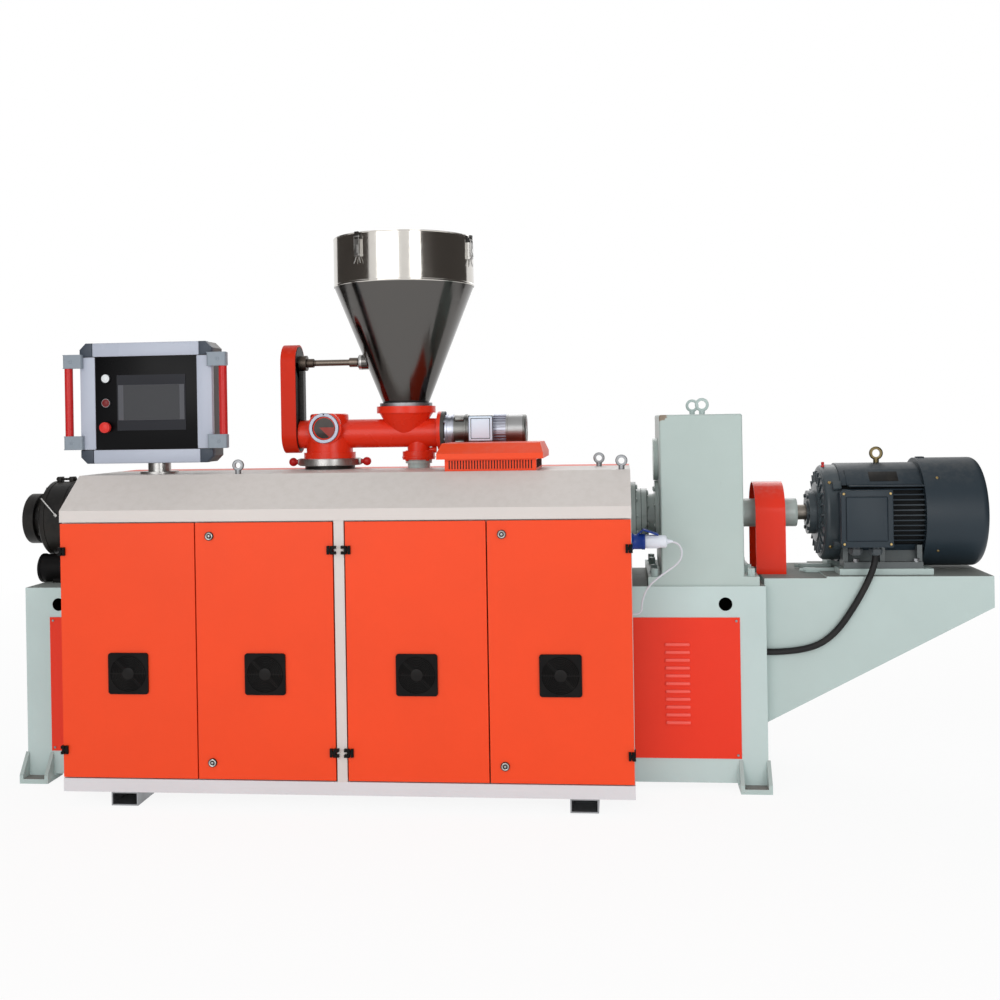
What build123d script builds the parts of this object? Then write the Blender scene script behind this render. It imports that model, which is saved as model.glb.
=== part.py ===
"""Conical twin-screw plastic extruder, about 3.8 m long, in millimetres.

X runs along the machine from the die end to the motor, Y from the door side to the rear, Z up from
the floor. Sizes below are measured from the left end of the doors and from the door fronts; every
piece is moved by the same amount when it is written, so that the origin lies on the floor under the
middle of the machine.
"""
import os
from math import cos, radians, sin

from build123d import *

# Main length and drive line
CAB_L = 2073.0
AXIS_Y = 580.0
AXIS_Z = 1000.0
GAP = 0.3
PIN_FIT = 0.08

# Welded base frame and its feet
FRAME_OVER_L, FRAME_OVER_R = 287.0, 490.0
FRAME_X0, FRAME_X1 = -FRAME_OVER_L, CAB_L + FRAME_OVER_R
FRAME_Y0, FRAME_Y1 = 298.0, 862.0
FRAME_Z0, FRAME_TOP = 25.0, 751.0
LEG_W = 110.0
FOOT_T = 18.0
FOOT_W = 114.0
FOOT_SIDE = 8.0
FOOT_OUT = 55.0
FOOT_IN = 70.0
GUSSET_T = 14.0
GUSSET_H, GUSSET_NOSE = 92.0, 14.0
LIFT_HOLE_R = 25.0
LIFT_HOLE_IN = (134.0, 147.0)
LIFT_HOLE_Z = 685.0
LIFT_HOLE_DEEP = 80.0

# Louvred frame panels
PANEL_T = 3.0
PANEL_Z0, PANEL_Z1 = 115.0, 636.0
PANEL_W = 460.0
PANEL_IN_L, PANEL_IN_R = 99.0, 96.0
PANEL_LEFT = (FRAME_X0 + PANEL_IN_L, FRAME_X0 + PANEL_IN_L + PANEL_W)
PANEL_RIGHT = (FRAME_X1 - PANEL_IN_R - PANEL_W, FRAME_X1 - PANEL_IN_R)
LOUVRE_N = 11
LOUVRE_PITCH = 28.9
LOUVRE_W = 89.0
LOUVRE_H = 15.0
LOUVRE_OUT = 8.0
LOUVRE_X = 186.0
LOUVRE_Z = 240.0

# Electrical cabinet
CAB_BACK_Y = 284.0
FOOT_TUBE_W, FOOT_TUBE_H, FOOT_TUBE_T = 100.0, 50.0, 5.0
FOOT_TUBE_IN_L, FOOT_TUBE_IN_R = 179.0, 228.0
FOOT_TUBE_X = (FOOT_TUBE_IN_L, CAB_L - FOOT_TUBE_IN_R)
FOOT_TUBE_Y = (5.0, 282.0)
PLINTH_TOP = 98.0
CAB_TOP = 1030.0
WALL = 12.0
DOOR_GAP = 5.0
DOOR_T = 18.0
DOOR_FRONT_GAP = 6.0
MULLION_W = 41.0
MULLION_X0, MULLION_X1 = (CAB_L - MULLION_W) / 2, (CAB_L + MULLION_W) / 2
MULLION_Y = 2.0
MULLION_DEEP = 44.0

# Door hinges, locks and fan grilles
HINGE_Z = (203.0, 925.0)
HINGE_H = 30.0
HINGE_PIN_R = 4.0
HINGE_R = 5.5
HINGE_Y = -6.5
HINGE_IN = 2.5
HINGE_LEAF = 17.0
LOCK_R = 13.5
LOCK_OUT = 6.0
LOCK_Z = (162.0, 977.0)
LOCK_IN = 52.0
GRILLE_W = 148.5
GRILLE_OUT = 8.0
GRILLE_Z = 482.0
GRILLE_BORE_R = 66.0

# Hood over the barrel
SHEET = 3.0
LIP_TOP = 1072.0
HOOD_SLOPE_Y = 171.0
HOOD_TOP = 1192.0
HOOD_SPLIT_Y = 545.0
HOOD_REAR_Y = 720.0
REAR_SLOPE_Z = 1072.0

# Gearbox
GEAR_OFF, GEAR_L = 111.0, 304.0
GEAR_X0, GEAR_X1 = CAB_L + GEAR_OFF, CAB_L + GEAR_OFF + GEAR_L
GEAR_Y0, GEAR_Y1 = 305.0, 855.0
GEAR_TOP = 1387.0
GEAR_BASE_L, GEAR_BASE_R = 49.0, 54.0
GEAR_BASE_X0, GEAR_BASE_X1 = GEAR_X0 - GEAR_BASE_L, GEAR_X1 + GEAR_BASE_R
GEAR_BASE_T = 34.0
GEAR_COVER_Z = 1213.0
GEAR_COVER_R = 82.5
GEAR_COVER_T = 18.0
GEAR_FLANGE_R = 129.0
GEAR_FLANGE_T = 14.0
INPUT_NECK_R = 55.0
INPUT_NECK_L = 68.0
INPUT_NECK_X1 = GEAR_X1 + INPUT_NECK_L

# Barrel
NECK_R, NECK_L = 77.5, 45.0
NECK_X0 = GEAR_X0 - NECK_L
DRIVE_FLANGE_R, DRIVE_FLANGE_L = 98.0, 44.0
DRIVE_FLANGE_X0 = NECK_X0 - DRIVE_FLANGE_L
BARREL_R = 95.0
BARREL_X0 = -190.0
BARREL_FLANGE_R, BARREL_FLANGE_T = 125.0, 40.0
BAND_R = 140.0
HEAD_R, HEAD_X0 = 152.0, -300.0
DIE_NECK_R, DIE_NECK_X0 = 84.0, -345.0
DIE_R, DIE_X0 = 102.5, -389.0
DIE_BORE_R = 30.0
DIE_BOLTS = 8
DIE_PCD = 160.0
DIE_BOLT_R = 6.5
DIE_BOLT_DEEP = 40.0
SUPPORT_IN_L, SUPPORT_IN_R = 20.0, 253.0
SUPPORT_X = (SUPPORT_IN_L, CAB_L - SUPPORT_IN_R)
SUPPORT_T = 30.0
SUPPORT_FOOT_W, SUPPORT_TOP_W = 300.0, 140.0
SUPPORT_DROP = 90.0
BLOWER_R = 56.0
BLOWER_X0, BLOWER_X1 = -304.0, -60.0
BLOWER_Y = 480.0

# Coupling and guard
HUB_R = 55.0
HUB_L = 144.0
HUB_X1 = INPUT_NECK_X1 + HUB_L
MOTOR_SHAFT_R = 29.0
GUARD_OFF, GUARD_W = 60.0, 112.0
GUARD_X0, GUARD_X1 = GEAR_X1 + GUARD_OFF, GEAR_X1 + GUARD_OFF + GUARD_W
GUARD_R = 121.0
GUARD_T = 3.0

# Motor bracket
BRACKET_Y0, BRACKET_Y1 = 340.0, 820.0
BRACKET_L, BRACKET_STEP_L = 824.0, 227.0
BRACKET_X1 = FRAME_X1 + BRACKET_L
BRACKET_TOP = 780.0
BRACKET_LOW_TOP = 774.0
BRACKET_STEP_X = FRAME_X1 + BRACKET_STEP_L
BRACKET_END_Z = 666.0
BRACKET_ROOT_Z = 238.0

# Main motor
MOTOR_SHAFT_L = 57.0
MOTOR_CAP_X0 = HUB_X1 + MOTOR_SHAFT_L
MOTOR_CAP_R = 84.0
MOTOR_CAP_L, BELL_L = 43.0, 62.0
BELL_X0 = MOTOR_CAP_X0 + MOTOR_CAP_L
BELL_R = 184.0
BODY_L, COWL_L = 299.0, 229.0
BODY_X0, BODY_X1 = BELL_X0 + BELL_L, BELL_X0 + BELL_L + BODY_L
BODY_R = 190.0
BODY_CORE_R = 168.0
FIN_PITCH = 19.0
FIN_T = 5.0
COWL_X1 = BODY_X1 + COWL_L
COWL_R = 207.0
COWL_ROUND = 26.0
TERM_OFF, TERM_L = 29.0, 183.0
TERM_X0, TERM_X1 = BODY_X0 - TERM_OFF, BODY_X0 - TERM_OFF + TERM_L
TERM_Y0, TERM_Y1 = 270.0, 440.0
TERM_Z0, TERM_Z1 = 895.0, 1100.0
TERM_LID_T, TERM_LIP = 14.0, 12.0
GLAND_R, GLAND_H = 19.0, 26.0
GLAND_IN = (59.0, 131.0)
GLAND_X = (TERM_X0 + GLAND_IN[0], TERM_X0 + GLAND_IN[1])
GLAND_FRONT = 15.0
GLAND_Y = BRACKET_Y0 - GLAND_FRONT
RAIL_IN, RAIL_L = -17.0, 340.0
RAIL_X0, RAIL_X1 = BODY_X0 + RAIL_IN, BODY_X0 + RAIL_IN + RAIL_L
RAIL_W, RAIL_T = 110.0, 22.0
RAIL_OFF = 140.0
FOOT_PAD_T = 24.0
FOOT_PAD_IN_L, FOOT_PAD_IN_R = 0.0, 11.0
FOOT_PAD_X0, FOOT_PAD_X1 = BODY_X0 + FOOT_PAD_IN_L, BODY_X1 - FOOT_PAD_IN_R
FOOT_PAD_W = 90.0
FOOT_WEB_T, FOOT_WEB_W = 18.0, 60.0
FOOT_WEB_DROP = 112.0
FOOT_SKIRT_T, FOOT_SKIRT_LEAN = 12.0, 50.0

# Control panel on its post
POST_X, POST_Y = 260.0, 312.0
POST_R = 43.0
POST_FLANGE_R, POST_FLANGE_T = 72.5, 9.0
CASE_X0, CASE_X1 = -27.0, 495.0
CASE_Y0, CASE_Y1 = 252.0, 372.0
CASE_Z0, CASE_Z1 = 1235.5, 1697.0
CASE_BAR_W, CASE_BAR_H = 60.0, 52.0
CASE_CORNER = 24.0
FACE_INSET = 6.0
SCREEN_W, SCREEN_H, SCREEN_T = 272.0, 213.0, 8.0
SCREEN_X, SCREEN_Z = 255.0, 1467.0
BUTTON_X = 76.0
BUTTON_Z = (1561.0, 1467.0, 1373.0)
BUTTON_R = 15.0
STOP_R = 20.0
HANDLE_OUT, HANDLE_FRONT = 61.0, 4.0
HANDLE_R = 16.5
HANDLE_Z0, HANDLE_Z1 = 1315.0, 1628.0
CLAMP_H, CLAMP_LAP, CLAMP_Y = 50.0, 14.0, 36.0

# Feeder under the hopper
FEED_X = 869.0
FEED_Z = 1332.0
FEED_BASE_R, FEED_BASE_Z0, FEED_BASE_Z1 = 100.0, 1060.0, 1206.0
FEED_GAP = (750.0, 1300.0)
RING_R, RING_Z1 = 124.0, 1235.0
NECK_FLANGE_R, NECK_FLANGE_Z1 = 104.0, 1258.0
BOX_R, BOX_NECK_R = 77.0, 93.0
BOX_NECK_Z = 1312.0
BOX_SLOPE_H = 28.0
BOX_TOP = 1414.0
TUBE_R = 57.5
TUBE_X1 = 1330.0
STUB_X0 = 750.0
GLASS_Z = 1356.0
GLASS_RING_R, GLASS_R = 60.0, 46.0
GLASS_Y0 = 486.0
BOWL_TOP_Z, BOWL_FLANGE_Z = 1439.0, 1412.0
BOWL_R = 118.0
LEG_X = 1233.0
LEG_R = 45.0
COLLAR_R = 65.0
COLLAR_Z0, COLLAR_Z1 = 1225.0, 1258.0
LEG_TOP_RING_Z0 = 1210.0
ARM_R, ARM_L, ARM_Z = 10.0, 69.0, 1263.0
KNOB_R = 17.0
KNOB_OUT = 152.0
KNOB_ROD_R = 6.0

# Hopper and stirrer
HOP_X = 1185.0
HOP_R = 280.0
HOP_T = 3.0
HOP_RING_R = 105.0
CONE_Z0, CONE_R0 = 1452.0, 92.0
BAND_Z0, BAND_Z1 = 1919.0, 2107.0
STIR_Z = 1620.0
STIR_R = 12.5
STIR_X0 = 809.0
STIR_X1 = 1290.0
STIR_COUPLING_R = 19.0
STIR_COUPLING = (957.0, 990.0)
BEARING_R, BEARING_X1 = 31.0, 781.0
BEARING_NOSE_R = 18.0
BOSS_R = 30.0
BOSS_X0 = 997.0
PADDLE_R = 7.0
PADDLE_L = 78.0
PADDLES = (1120.0, 1185.0, 1250.0)
CHAIN_X0, CHAIN_X1 = 690.0, 750.0
CHAIN_R = 75.0
POST_BAR_T, POST_BAR_W = 19.0, 36.0
LATCH_ANGLES = (-118.0, -14.0, 62.0, 166.0)
LATCH_W, LATCH_T = 28.0, 9.0
LATCH_DROP = (95.0, 10.0)
LEVER_W, LEVER_T = 16.0, 9.0
LEVER_DROP = 60.0
LEVER_OFF = 5.0

# Feeder motor
FM_Z = 1338.0
FM_FLANGE_R, FM_FLANGE_X1 = 78.0, 1344.0
FM_GEAR_R, FM_GEAR_X1 = 62.0, 1440.0
FM_BODY_R, FM_BODY_X1 = 58.0, 1590.0
FM_COWL_R, FM_COWL_X1 = 61.0, 1670.0
FM_BOX = (1452.0, 1540.0, 478.0, 540.0, 1300.0, 1392.0)

# Vent on the hood
VENT_IN, VENT_L = 341.0, 338.0
VENT_X0, VENT_X1 = CAB_L - VENT_IN - VENT_L, CAB_L - VENT_IN
VENT_Y0, VENT_Y1 = 190.0, 510.0
VENT_EAVE_Z0, VENT_EAVE_Z1 = 1236.0, 1257.0
VENT_TOP = 1294.0
VENT_OVER = 27.0

# Socket, plug and cords
SOCKET_Y, SOCKET_Z = 150.0, 933.0
SOCKET_R, SOCKET_L = 27.0, 48.0
SOCKET_X1 = CAB_L + SOCKET_L
PLUG_R, PLUG_L = 22.5, 79.0
PLUG_X1 = SOCKET_X1 + PLUG_L
PLUG_CORD_R = 3.5
PLUG_CORD_STEPS = (
    (0.0, 0.0), (36.0, 0.0), (56.0, -36.0), (44.0, -77.0), (-23.0, -121.0), (-74.0, -165.0), (-94.0, -221.0),
    (-94.0, -261.0), (-127.0, -261.0),
)
PLUG_CORD = [(PLUG_X1 + dx, SOCKET_Y, SOCKET_Z + dz) for dx, dz in PLUG_CORD_STEPS]
PLUG_CORD_BEND = 16.0
MOTOR_CORD_R = 12.0
MOTOR_CORD_STEPS = (
    (0.0, 0.0), (0.0, -45.0), (-66.0, -179.0), (-164.0, -319.0), (-284.0, -365.0), (-401.0, -365.0),
)
MOTOR_CORD = [(GLAND_X[1] + dx, GLAND_Y, TERM_Z0 - GLAND_H + dz) for dx, dz in MOTOR_CORD_STEPS]
MOTOR_CORD_BEND = 120.0

# Lifting eyes: place of each foot, and ring size
EYE_R, GEAR_EYE_R = 22.0, 26.0
EYE_T, EYE_BAR = 14.0, 11.0
EYE_ROUND = 5.0
EYE_FOOT_R, EYE_FOOT_H = 11.0, 10.0
HOOD_EYE_X, HOOD_EYE_Y, HOOD_EYE_IN = 614.0, 185.0, 31.0
REAR_EYE_Y, REAR_EYE_IN = 500.0, 117.0
GEAR_EYE_X, GEAR_EYE_IN = (164.0, 149.0), 95.0
MOTOR_EYE_X = 161.0
EYES = (
    (HOOD_EYE_X, HOOD_EYE_Y, HOOD_TOP, EYE_R),
    (CAB_L - HOOD_EYE_IN, HOOD_EYE_Y, HOOD_TOP, EYE_R),
    (CAB_L - REAR_EYE_IN, REAR_EYE_Y, HOOD_TOP, EYE_R),
    (GEAR_X0 + GEAR_EYE_X[0], GEAR_Y0 + GEAR_EYE_IN, GEAR_TOP, GEAR_EYE_R),
    (GEAR_X0 + GEAR_EYE_X[1], GEAR_Y1 - GEAR_EYE_IN, GEAR_TOP, GEAR_EYE_R),
    (BODY_X0 + MOTOR_EYE_X, AXIS_Y, AXIS_Z + BODY_R, GEAR_EYE_R),
)

# Heater bands, kept clear of the feeder's base and leg
BAND_GAP, BAND_CLEAR, BAND_END = 40.0, 32.0, 73.0
BAND_X0 = -120.0
BAND_MID_L = (BAND_X0 + FEED_X - FEED_BASE_R - BAND_CLEAR) / 2
BAND_MID_R = (LEG_X + LEG_R + CAB_L + BAND_CLEAR - BAND_END) / 2
BANDS = (
    (BAND_X0, BAND_MID_L - BAND_GAP / 2),
    (BAND_MID_L + BAND_GAP / 2, FEED_X - FEED_BASE_R - BAND_CLEAR),
    (FEED_X + FEED_BASE_R + BAND_CLEAR, LEG_X - LEG_R - BAND_CLEAR),
    (LEG_X + LEG_R + BAND_CLEAR, BAND_MID_R - BAND_GAP / 2),
    (BAND_MID_R + BAND_GAP / 2, CAB_L - BAND_END),
)

# Origin of the finished part
FRONT_Y = HINGE_Y - HINGE_R
REAR_Y = FRAME_Y1 + FOOT_OUT
ORIGIN_X = (DIE_X0 + COWL_X1) / 2
ORIGIN_Y = (FRONT_Y + REAR_Y) / 2


def box(x0, x1, y0, y1, z0, z1):
    """Block between six planes."""
    return Pos((x0 + x1) / 2, (y0 + y1) / 2, (z0 + z1) / 2) * Box(x1 - x0, y1 - y0, z1 - z0)


def cyl_x(x0, x1, r, y=AXIS_Y, z=AXIS_Z):
    """Round bar along X."""
    return Pos((x0 + x1) / 2, y, z) * Rot(0, 90, 0) * Cylinder(r, x1 - x0)


def cyl_y(y0, y1, r, x, z):
    """Round bar along Y."""
    return Pos(x, (y0 + y1) / 2, z) * Rot(90, 0, 0) * Cylinder(r, y1 - y0)


def cyl_z(z0, z1, r, x, y=AXIS_Y):
    """Round bar along Z."""
    return Pos(x, y, (z0 + z1) / 2) * Cylinder(r, z1 - z0)


def cone_z(z0, z1, r0, r1, x, y=AXIS_Y):
    """Upright cone piece."""
    return Pos(x, y, (z0 + z1) / 2) * Cone(r0, r1, z1 - z0)


def prism_x(points, x0, x1):
    """Outline in Y and Z, drawn out along X."""
    face = make_face(Plane.YZ * Polyline(*points, close=True))
    return Pos(x0, 0, 0) * extrude(face, x1 - x0, dir=(1, 0, 0))


def prism_y(points, y0, y1):
    """Outline in X and Z, drawn out along Y."""
    face = make_face(Polyline(*[(x, y0, z) for x, z in points], close=True))
    return extrude(face, y1 - y0, dir=(0, 1, 0))


def eye(x, y, z, r):
    """Lifting eye on a short foot."""
    middle = z + EYE_FOOT_H + r
    ring = cyl_y(y - EYE_T / 2, y + EYE_T / 2, r, x, middle)
    ring = fillet(ring.edges().filter_by(GeomType.CIRCLE), EYE_ROUND)
    ring += cyl_z(z, z + EYE_FOOT_H + EYE_BAR / 2, EYE_FOOT_R, x, y)
    return ring - cyl_y(y - EYE_FOOT_R, y + EYE_FOOT_R, r - EYE_BAR, x, middle)


def tube(points, bend, r):
    """Cord along straight runs joined by arcs."""
    path = FilletPolyline(*points, radius=bend)
    start = Plane(path @ 0, z_dir=path % 0)
    return sweep(start * Circle(r), path=path)


def save(name, shape):
    """Writes one node, moved to the part's origin."""
    export_step(Pos(-ORIGIN_X, -ORIGIN_Y, 0) * shape, f"parts/{name}.step")


def frame():
    """Base frame, feet and louvred panels."""
    base = box(FRAME_X0, FRAME_X1, FRAME_Y0, FRAME_Y1, FRAME_Z0, FRAME_TOP)
    for x in (FRAME_X0, FRAME_X1 - LEG_W):
        base += box(x, x + LEG_W, FRAME_Y0, FRAME_Y1, FOOT_T, FRAME_Z0)
    for x in (FRAME_X0 + LIFT_HOLE_IN[0], FRAME_X1 - LIFT_HOLE_IN[1]):
        base -= cyl_y(FRAME_Y0, FRAME_Y0 + LIFT_HOLE_DEEP, LIFT_HOLE_R, x, LIFT_HOLE_Z)
        base -= cyl_y(FRAME_Y1 - LIFT_HOLE_DEEP, FRAME_Y1, LIFT_HOLE_R, x, LIFT_HOLE_Z)
    save("frame_base", base)

    feet = []
    for x in (FRAME_X0 - FOOT_SIDE, FRAME_X1 + FOOT_SIDE - FOOT_W):
        for side, wall in ((-1, FRAME_Y0), (1, FRAME_Y1)):
            y0, y1 = sorted((wall + side * FOOT_OUT, wall - side * FOOT_IN))
            foot = box(x, x + FOOT_W, y0, y1, 0, FOOT_T)
            nose = wall + side * FOOT_OUT
            for g in (x, x + FOOT_W - GUSSET_T):
                rib = [(wall, FOOT_T), (nose, FOOT_T), (nose, FOOT_T + GUSSET_NOSE), (wall, FOOT_T + GUSSET_H)]
                foot += prism_x(rib, g, g + GUSSET_T)
            feet.append(foot)
    save("frame_feet", Compound(feet))

    panels = []
    for x0, x1 in (PANEL_LEFT, PANEL_RIGHT):
        for side, wall in ((-1, FRAME_Y0), (1, FRAME_Y1)):
            y0, y1 = sorted((wall, wall + side * PANEL_T))
            panel = box(x0, x1, y0, y1, PANEL_Z0, PANEL_Z1)
            face = wall + side * PANEL_T
            for i in range(LOUVRE_N):
                z = LOUVRE_Z + i * LOUVRE_PITCH
                slat = [(face, z), (face + side * LOUVRE_OUT, z), (face, z + LOUVRE_H)]
                panel += prism_x(slat, x0 + LOUVRE_X, x0 + LOUVRE_X + LOUVRE_W)
            panels.append(panel)
    save("frame_panels", Compound(panels))


def cabinet():
    """Cabinet body with its feet and hinge brackets."""
    tubes = []
    for x in FOOT_TUBE_X:
        outer = box(x, x + FOOT_TUBE_W, *FOOT_TUBE_Y, 0, FOOT_TUBE_H)
        t = FOOT_TUBE_T
        tubes.append(outer - box(x + t, x + FOOT_TUBE_W - t, *FOOT_TUBE_Y, t, FOOT_TUBE_H - t))
    save("cabinet_feet", Compound(tubes))
    front = DOOR_T + DOOR_FRONT_GAP
    save("cabinet_plinth", box(0, CAB_L, MULLION_Y, CAB_BACK_Y, FOOT_TUBE_H, PLINTH_TOP))
    save("cabinet_back", box(0, CAB_L, CAB_BACK_Y - WALL, CAB_BACK_Y, PLINTH_TOP, CAB_TOP))
    sides = [box(x, x + WALL, front, CAB_BACK_Y - WALL, PLINTH_TOP, CAB_TOP) for x in (0, CAB_L - WALL)]
    save("cabinet_sides", Compound(sides))
    top = box(WALL, CAB_L - WALL, front, CAB_BACK_Y - WALL, CAB_TOP - WALL, CAB_TOP)
    post_x = (MULLION_X0 + DOOR_GAP / 2, MULLION_X1 - DOOR_GAP / 2)
    post = box(*post_x, MULLION_Y, MULLION_Y + MULLION_DEEP, PLINTH_TOP, CAB_TOP)
    save("cabinet_top", top - post)
    save("cabinet_mullion", post)

    brackets = []
    left_plate = (-PANEL_T, 0.0)
    right_plate = (CAB_L, CAB_L + PANEL_T)
    for z in HINGE_Z:
        for x, side, plate in hinge_lines():
            solid = cyl_z(z - HINGE_H / 2, z + HINGE_H / 2, HINGE_PIN_R, x, HINGE_Y)
            for z0 in (z - HINGE_H / 2, z + HINGE_H / 6):
                z1 = z0 + HINGE_H / 3
                solid += cyl_z(z0, z1, HINGE_R, x, HINGE_Y)
                if plate == "side":
                    xs = left_plate if side < 0 else right_plate
                    arm = sorted((x, xs[0] if side < 0 else xs[1]))
                    solid += box(*arm, HINGE_Y - HINGE_R, HINGE_Y + HINGE_R, z0, z1)
                    solid += box(*xs, HINGE_Y - HINGE_R, front + 16, z0, z1)
                else:
                    arm = sorted((x, x + side * 16))
                    solid += box(*arm, HINGE_Y - HINGE_R, HINGE_Y + HINGE_R, z0, z1)
                    arm = sorted((x + side * 9, x + side * 16))
                    solid += box(*arm, HINGE_Y, MULLION_Y, z0, z1)
            brackets.append(solid)
    save("hinge_brackets", Compound(brackets))


def hinge_lines():
    """X of each door's hinge axis, the side its bracket lies on, and what carries it."""
    half = DOOR_GAP / 2
    return (
        (half + HINGE_IN, -1, "side"),
        (MULLION_X0 - half - HINGE_IN, 1, "post"),
        (MULLION_X1 + half + HINGE_IN, -1, "post"),
        (CAB_L - half - HINGE_IN, 1, "side"),
    )


def doors():
    """Four doors, each with hinge leaves and a fan grille, two with locks."""
    half = DOOR_GAP / 2
    mid_left = MULLION_X0 / 2
    mid_right = (MULLION_X1 + CAB_L) / 2
    spans = (
        (half, mid_left - half),
        (mid_left + half, MULLION_X0 - half),
        (MULLION_X1 + half, mid_right - half),
        (mid_right + half, CAB_L - half),
    )
    z0, z1 = PLINTH_TOP + DOOR_GAP, CAB_TOP - DOOR_GAP
    for i, (x0, x1) in enumerate(spans):
        n = i + 1
        shell = box(x0, x1, 0, DOOR_T, z0, z1)
        shell -= box(x0 + 30, x1 - 30, 3, DOOR_T, z0 + 30, z1 - 30)
        save(f"door_{n}", shell)

        axis, side, _ = hinge_lines()[i]
        leaves = []
        for z in HINGE_Z:
            h = HINGE_H / 6 - 0.4
            knuckle = cyl_z(z - h, z + h, HINGE_R, axis, HINGE_Y)
            arm = sorted((axis, axis - side * HINGE_LEAF))
            knuckle += box(*arm, HINGE_Y - 3, HINGE_Y + 3, z - h, z + h)
            pad = sorted((axis - side * 8, axis - side * HINGE_LEAF))
            knuckle += box(*pad, HINGE_Y - 3, 0, z - HINGE_H / 2, z + HINGE_H / 2)
            knuckle -= cyl_z(z - HINGE_H, z + HINGE_H, HINGE_PIN_R + PIN_FIT, axis, HINGE_Y)
            leaves.append(knuckle)
        xc = (x0 + x1) / 2
        w = GRILLE_W / 2
        grille = box(xc - w, xc + w, -GRILLE_OUT, 0, GRILLE_Z - w, GRILLE_Z + w)
        grille = fillet(grille.edges().filter_by(Axis.Y), 10)
        grille -= cyl_y(-GRILLE_OUT, -GRILLE_OUT / 2, GRILLE_BORE_R, xc, GRILLE_Z)
        locks = []
        if n in (2, 4):
            locks = [cyl_y(-LOCK_OUT, 0, LOCK_R, x0 + LOCK_IN, z) for z in LOCK_Z]
        save(f"door_{n}_fittings", Compound([*leaves, grille, *locks]))


def hood():
    """Sheet hood over the barrel, with the rear cover, vent and lifting eyes."""
    t = SHEET
    lip = [(0, CAB_TOP), (t, CAB_TOP), (t, LIP_TOP - 1), (HOOD_SLOPE_Y + 1, HOOD_TOP - t),
           (HOOD_SLOPE_Y, HOOD_TOP), (0, LIP_TOP)]
    save("hood_front", prism_x(lip, 0, CAB_L))
    holes = cyl_z(HOOD_TOP - 60, HOOD_TOP + 20, FEED_BASE_R + 1.5, FEED_X)
    holes += cyl_z(HOOD_TOP - 60, HOOD_TOP + 20, LEG_R + 1.5, LEG_X)
    top = prism_x([(HOOD_SLOPE_Y, HOOD_TOP), (HOOD_SLOPE_Y + 1, HOOD_TOP - t),
                   (HOOD_SPLIT_Y, HOOD_TOP - t), (HOOD_SPLIT_Y, HOOD_TOP)], 0, CAB_L)
    save("hood_top", top - holes)
    z = HOOD_TOP - 0.5
    rear_top = box(0, CAB_L, HOOD_SPLIT_Y, HOOD_REAR_Y, z - t, z)
    save("rear_cover_top", rear_top - holes)
    slope = [(HOOD_REAR_Y, z), (FRAME_Y1, REAR_SLOPE_Z), (FRAME_Y1, FRAME_TOP), (FRAME_Y1 - t, FRAME_TOP),
             (FRAME_Y1 - t, REAR_SLOPE_Z - 1), (HOOD_REAR_Y, z - t)]
    save("rear_cover_back", prism_x(slope, 0, CAB_L))

    vent = box(VENT_X0, VENT_X1, VENT_Y0, VENT_Y1, HOOD_TOP, VENT_EAVE_Z0)
    o = VENT_OVER
    vent += box(VENT_X0 - o, VENT_X1 + o, VENT_Y0 - o, VENT_Y1 + o, VENT_EAVE_Z0, VENT_EAVE_Z1)
    xm, ym = (VENT_X0 + VENT_X1) / 2, (VENT_Y0 + VENT_Y1) / 2
    eave = Pos(xm, ym, VENT_EAVE_Z1) * Rectangle(VENT_X1 - VENT_X0 + 2 * o, VENT_Y1 - VENT_Y0 + 2 * o)
    ridge = Pos(xm, ym, VENT_TOP) * Rectangle(VENT_X1 - VENT_X0 + o, VENT_Y1 - VENT_Y0 - 2 * o)
    vent += loft([eave.face(), ridge.face()])
    save("vent_hood", vent)

    save("lifting_eyes", Compound([eye(*e) for e in EYES]))


def barrel():
    """Barrel with heater bands, die head, flanges, supports and blower."""
    tube_end = DRIVE_FLANGE_X0 - BARREL_FLANGE_T
    pipe = cyl_x(BARREL_X0, tube_end, BARREL_R) + cyl_x(tube_end, DRIVE_FLANGE_X0, BARREL_FLANGE_R)
    for x0, x1 in BANDS:
        pipe += cyl_x(x0, x1, BAND_R)
    save("barrel", pipe)
    head = cyl_x(HEAD_X0, BARREL_X0, HEAD_R)
    head = fillet(head.edges().group_by(Axis.X)[0], 12)
    save("barrel_head", head)
    die = cyl_x(DIE_NECK_X0, HEAD_X0, DIE_NECK_R) + cyl_x(DIE_X0, DIE_NECK_X0, DIE_R)
    die -= cyl_x(DIE_X0, HEAD_X0, DIE_BORE_R)
    for i in range(DIE_BOLTS):
        a = radians(360 / DIE_BOLTS * (i + 0.5))
        y = AXIS_Y + DIE_PCD / 2 * cos(a)
        z = AXIS_Z + DIE_PCD / 2 * sin(a)
        die -= cyl_x(DIE_X0, DIE_X0 + DIE_BOLT_DEEP, DIE_BOLT_R, y, z)
    save("die_flange", die)
    supports = []
    for x in SUPPORT_X:
        foot, neck, top = SUPPORT_FOOT_W / 2, SUPPORT_TOP_W / 2, AXIS_Z - SUPPORT_DROP
        leg = prism_x([(AXIS_Y - foot, FRAME_TOP), (AXIS_Y + foot, FRAME_TOP), (AXIS_Y + neck, top),
                       (AXIS_Y - neck, top)], x, x + SUPPORT_T)
        leg -= cyl_x(x, x + SUPPORT_T, BAND_R)
        supports.append(leg)
    save("barrel_supports", Compound(supports))
    blower_z = FRAME_TOP + BLOWER_R
    blower = cyl_x(BLOWER_X0, BLOWER_X1, BLOWER_R, BLOWER_Y, blower_z)
    blower = fillet(blower.edges().group_by(Axis.X)[0], 10)
    blower += box(BLOWER_X0 + 60, BLOWER_X1 - 20, BLOWER_Y - 40, BLOWER_Y + 40, FRAME_TOP, FRAME_TOP + 40)
    save("blower", blower)


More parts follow.
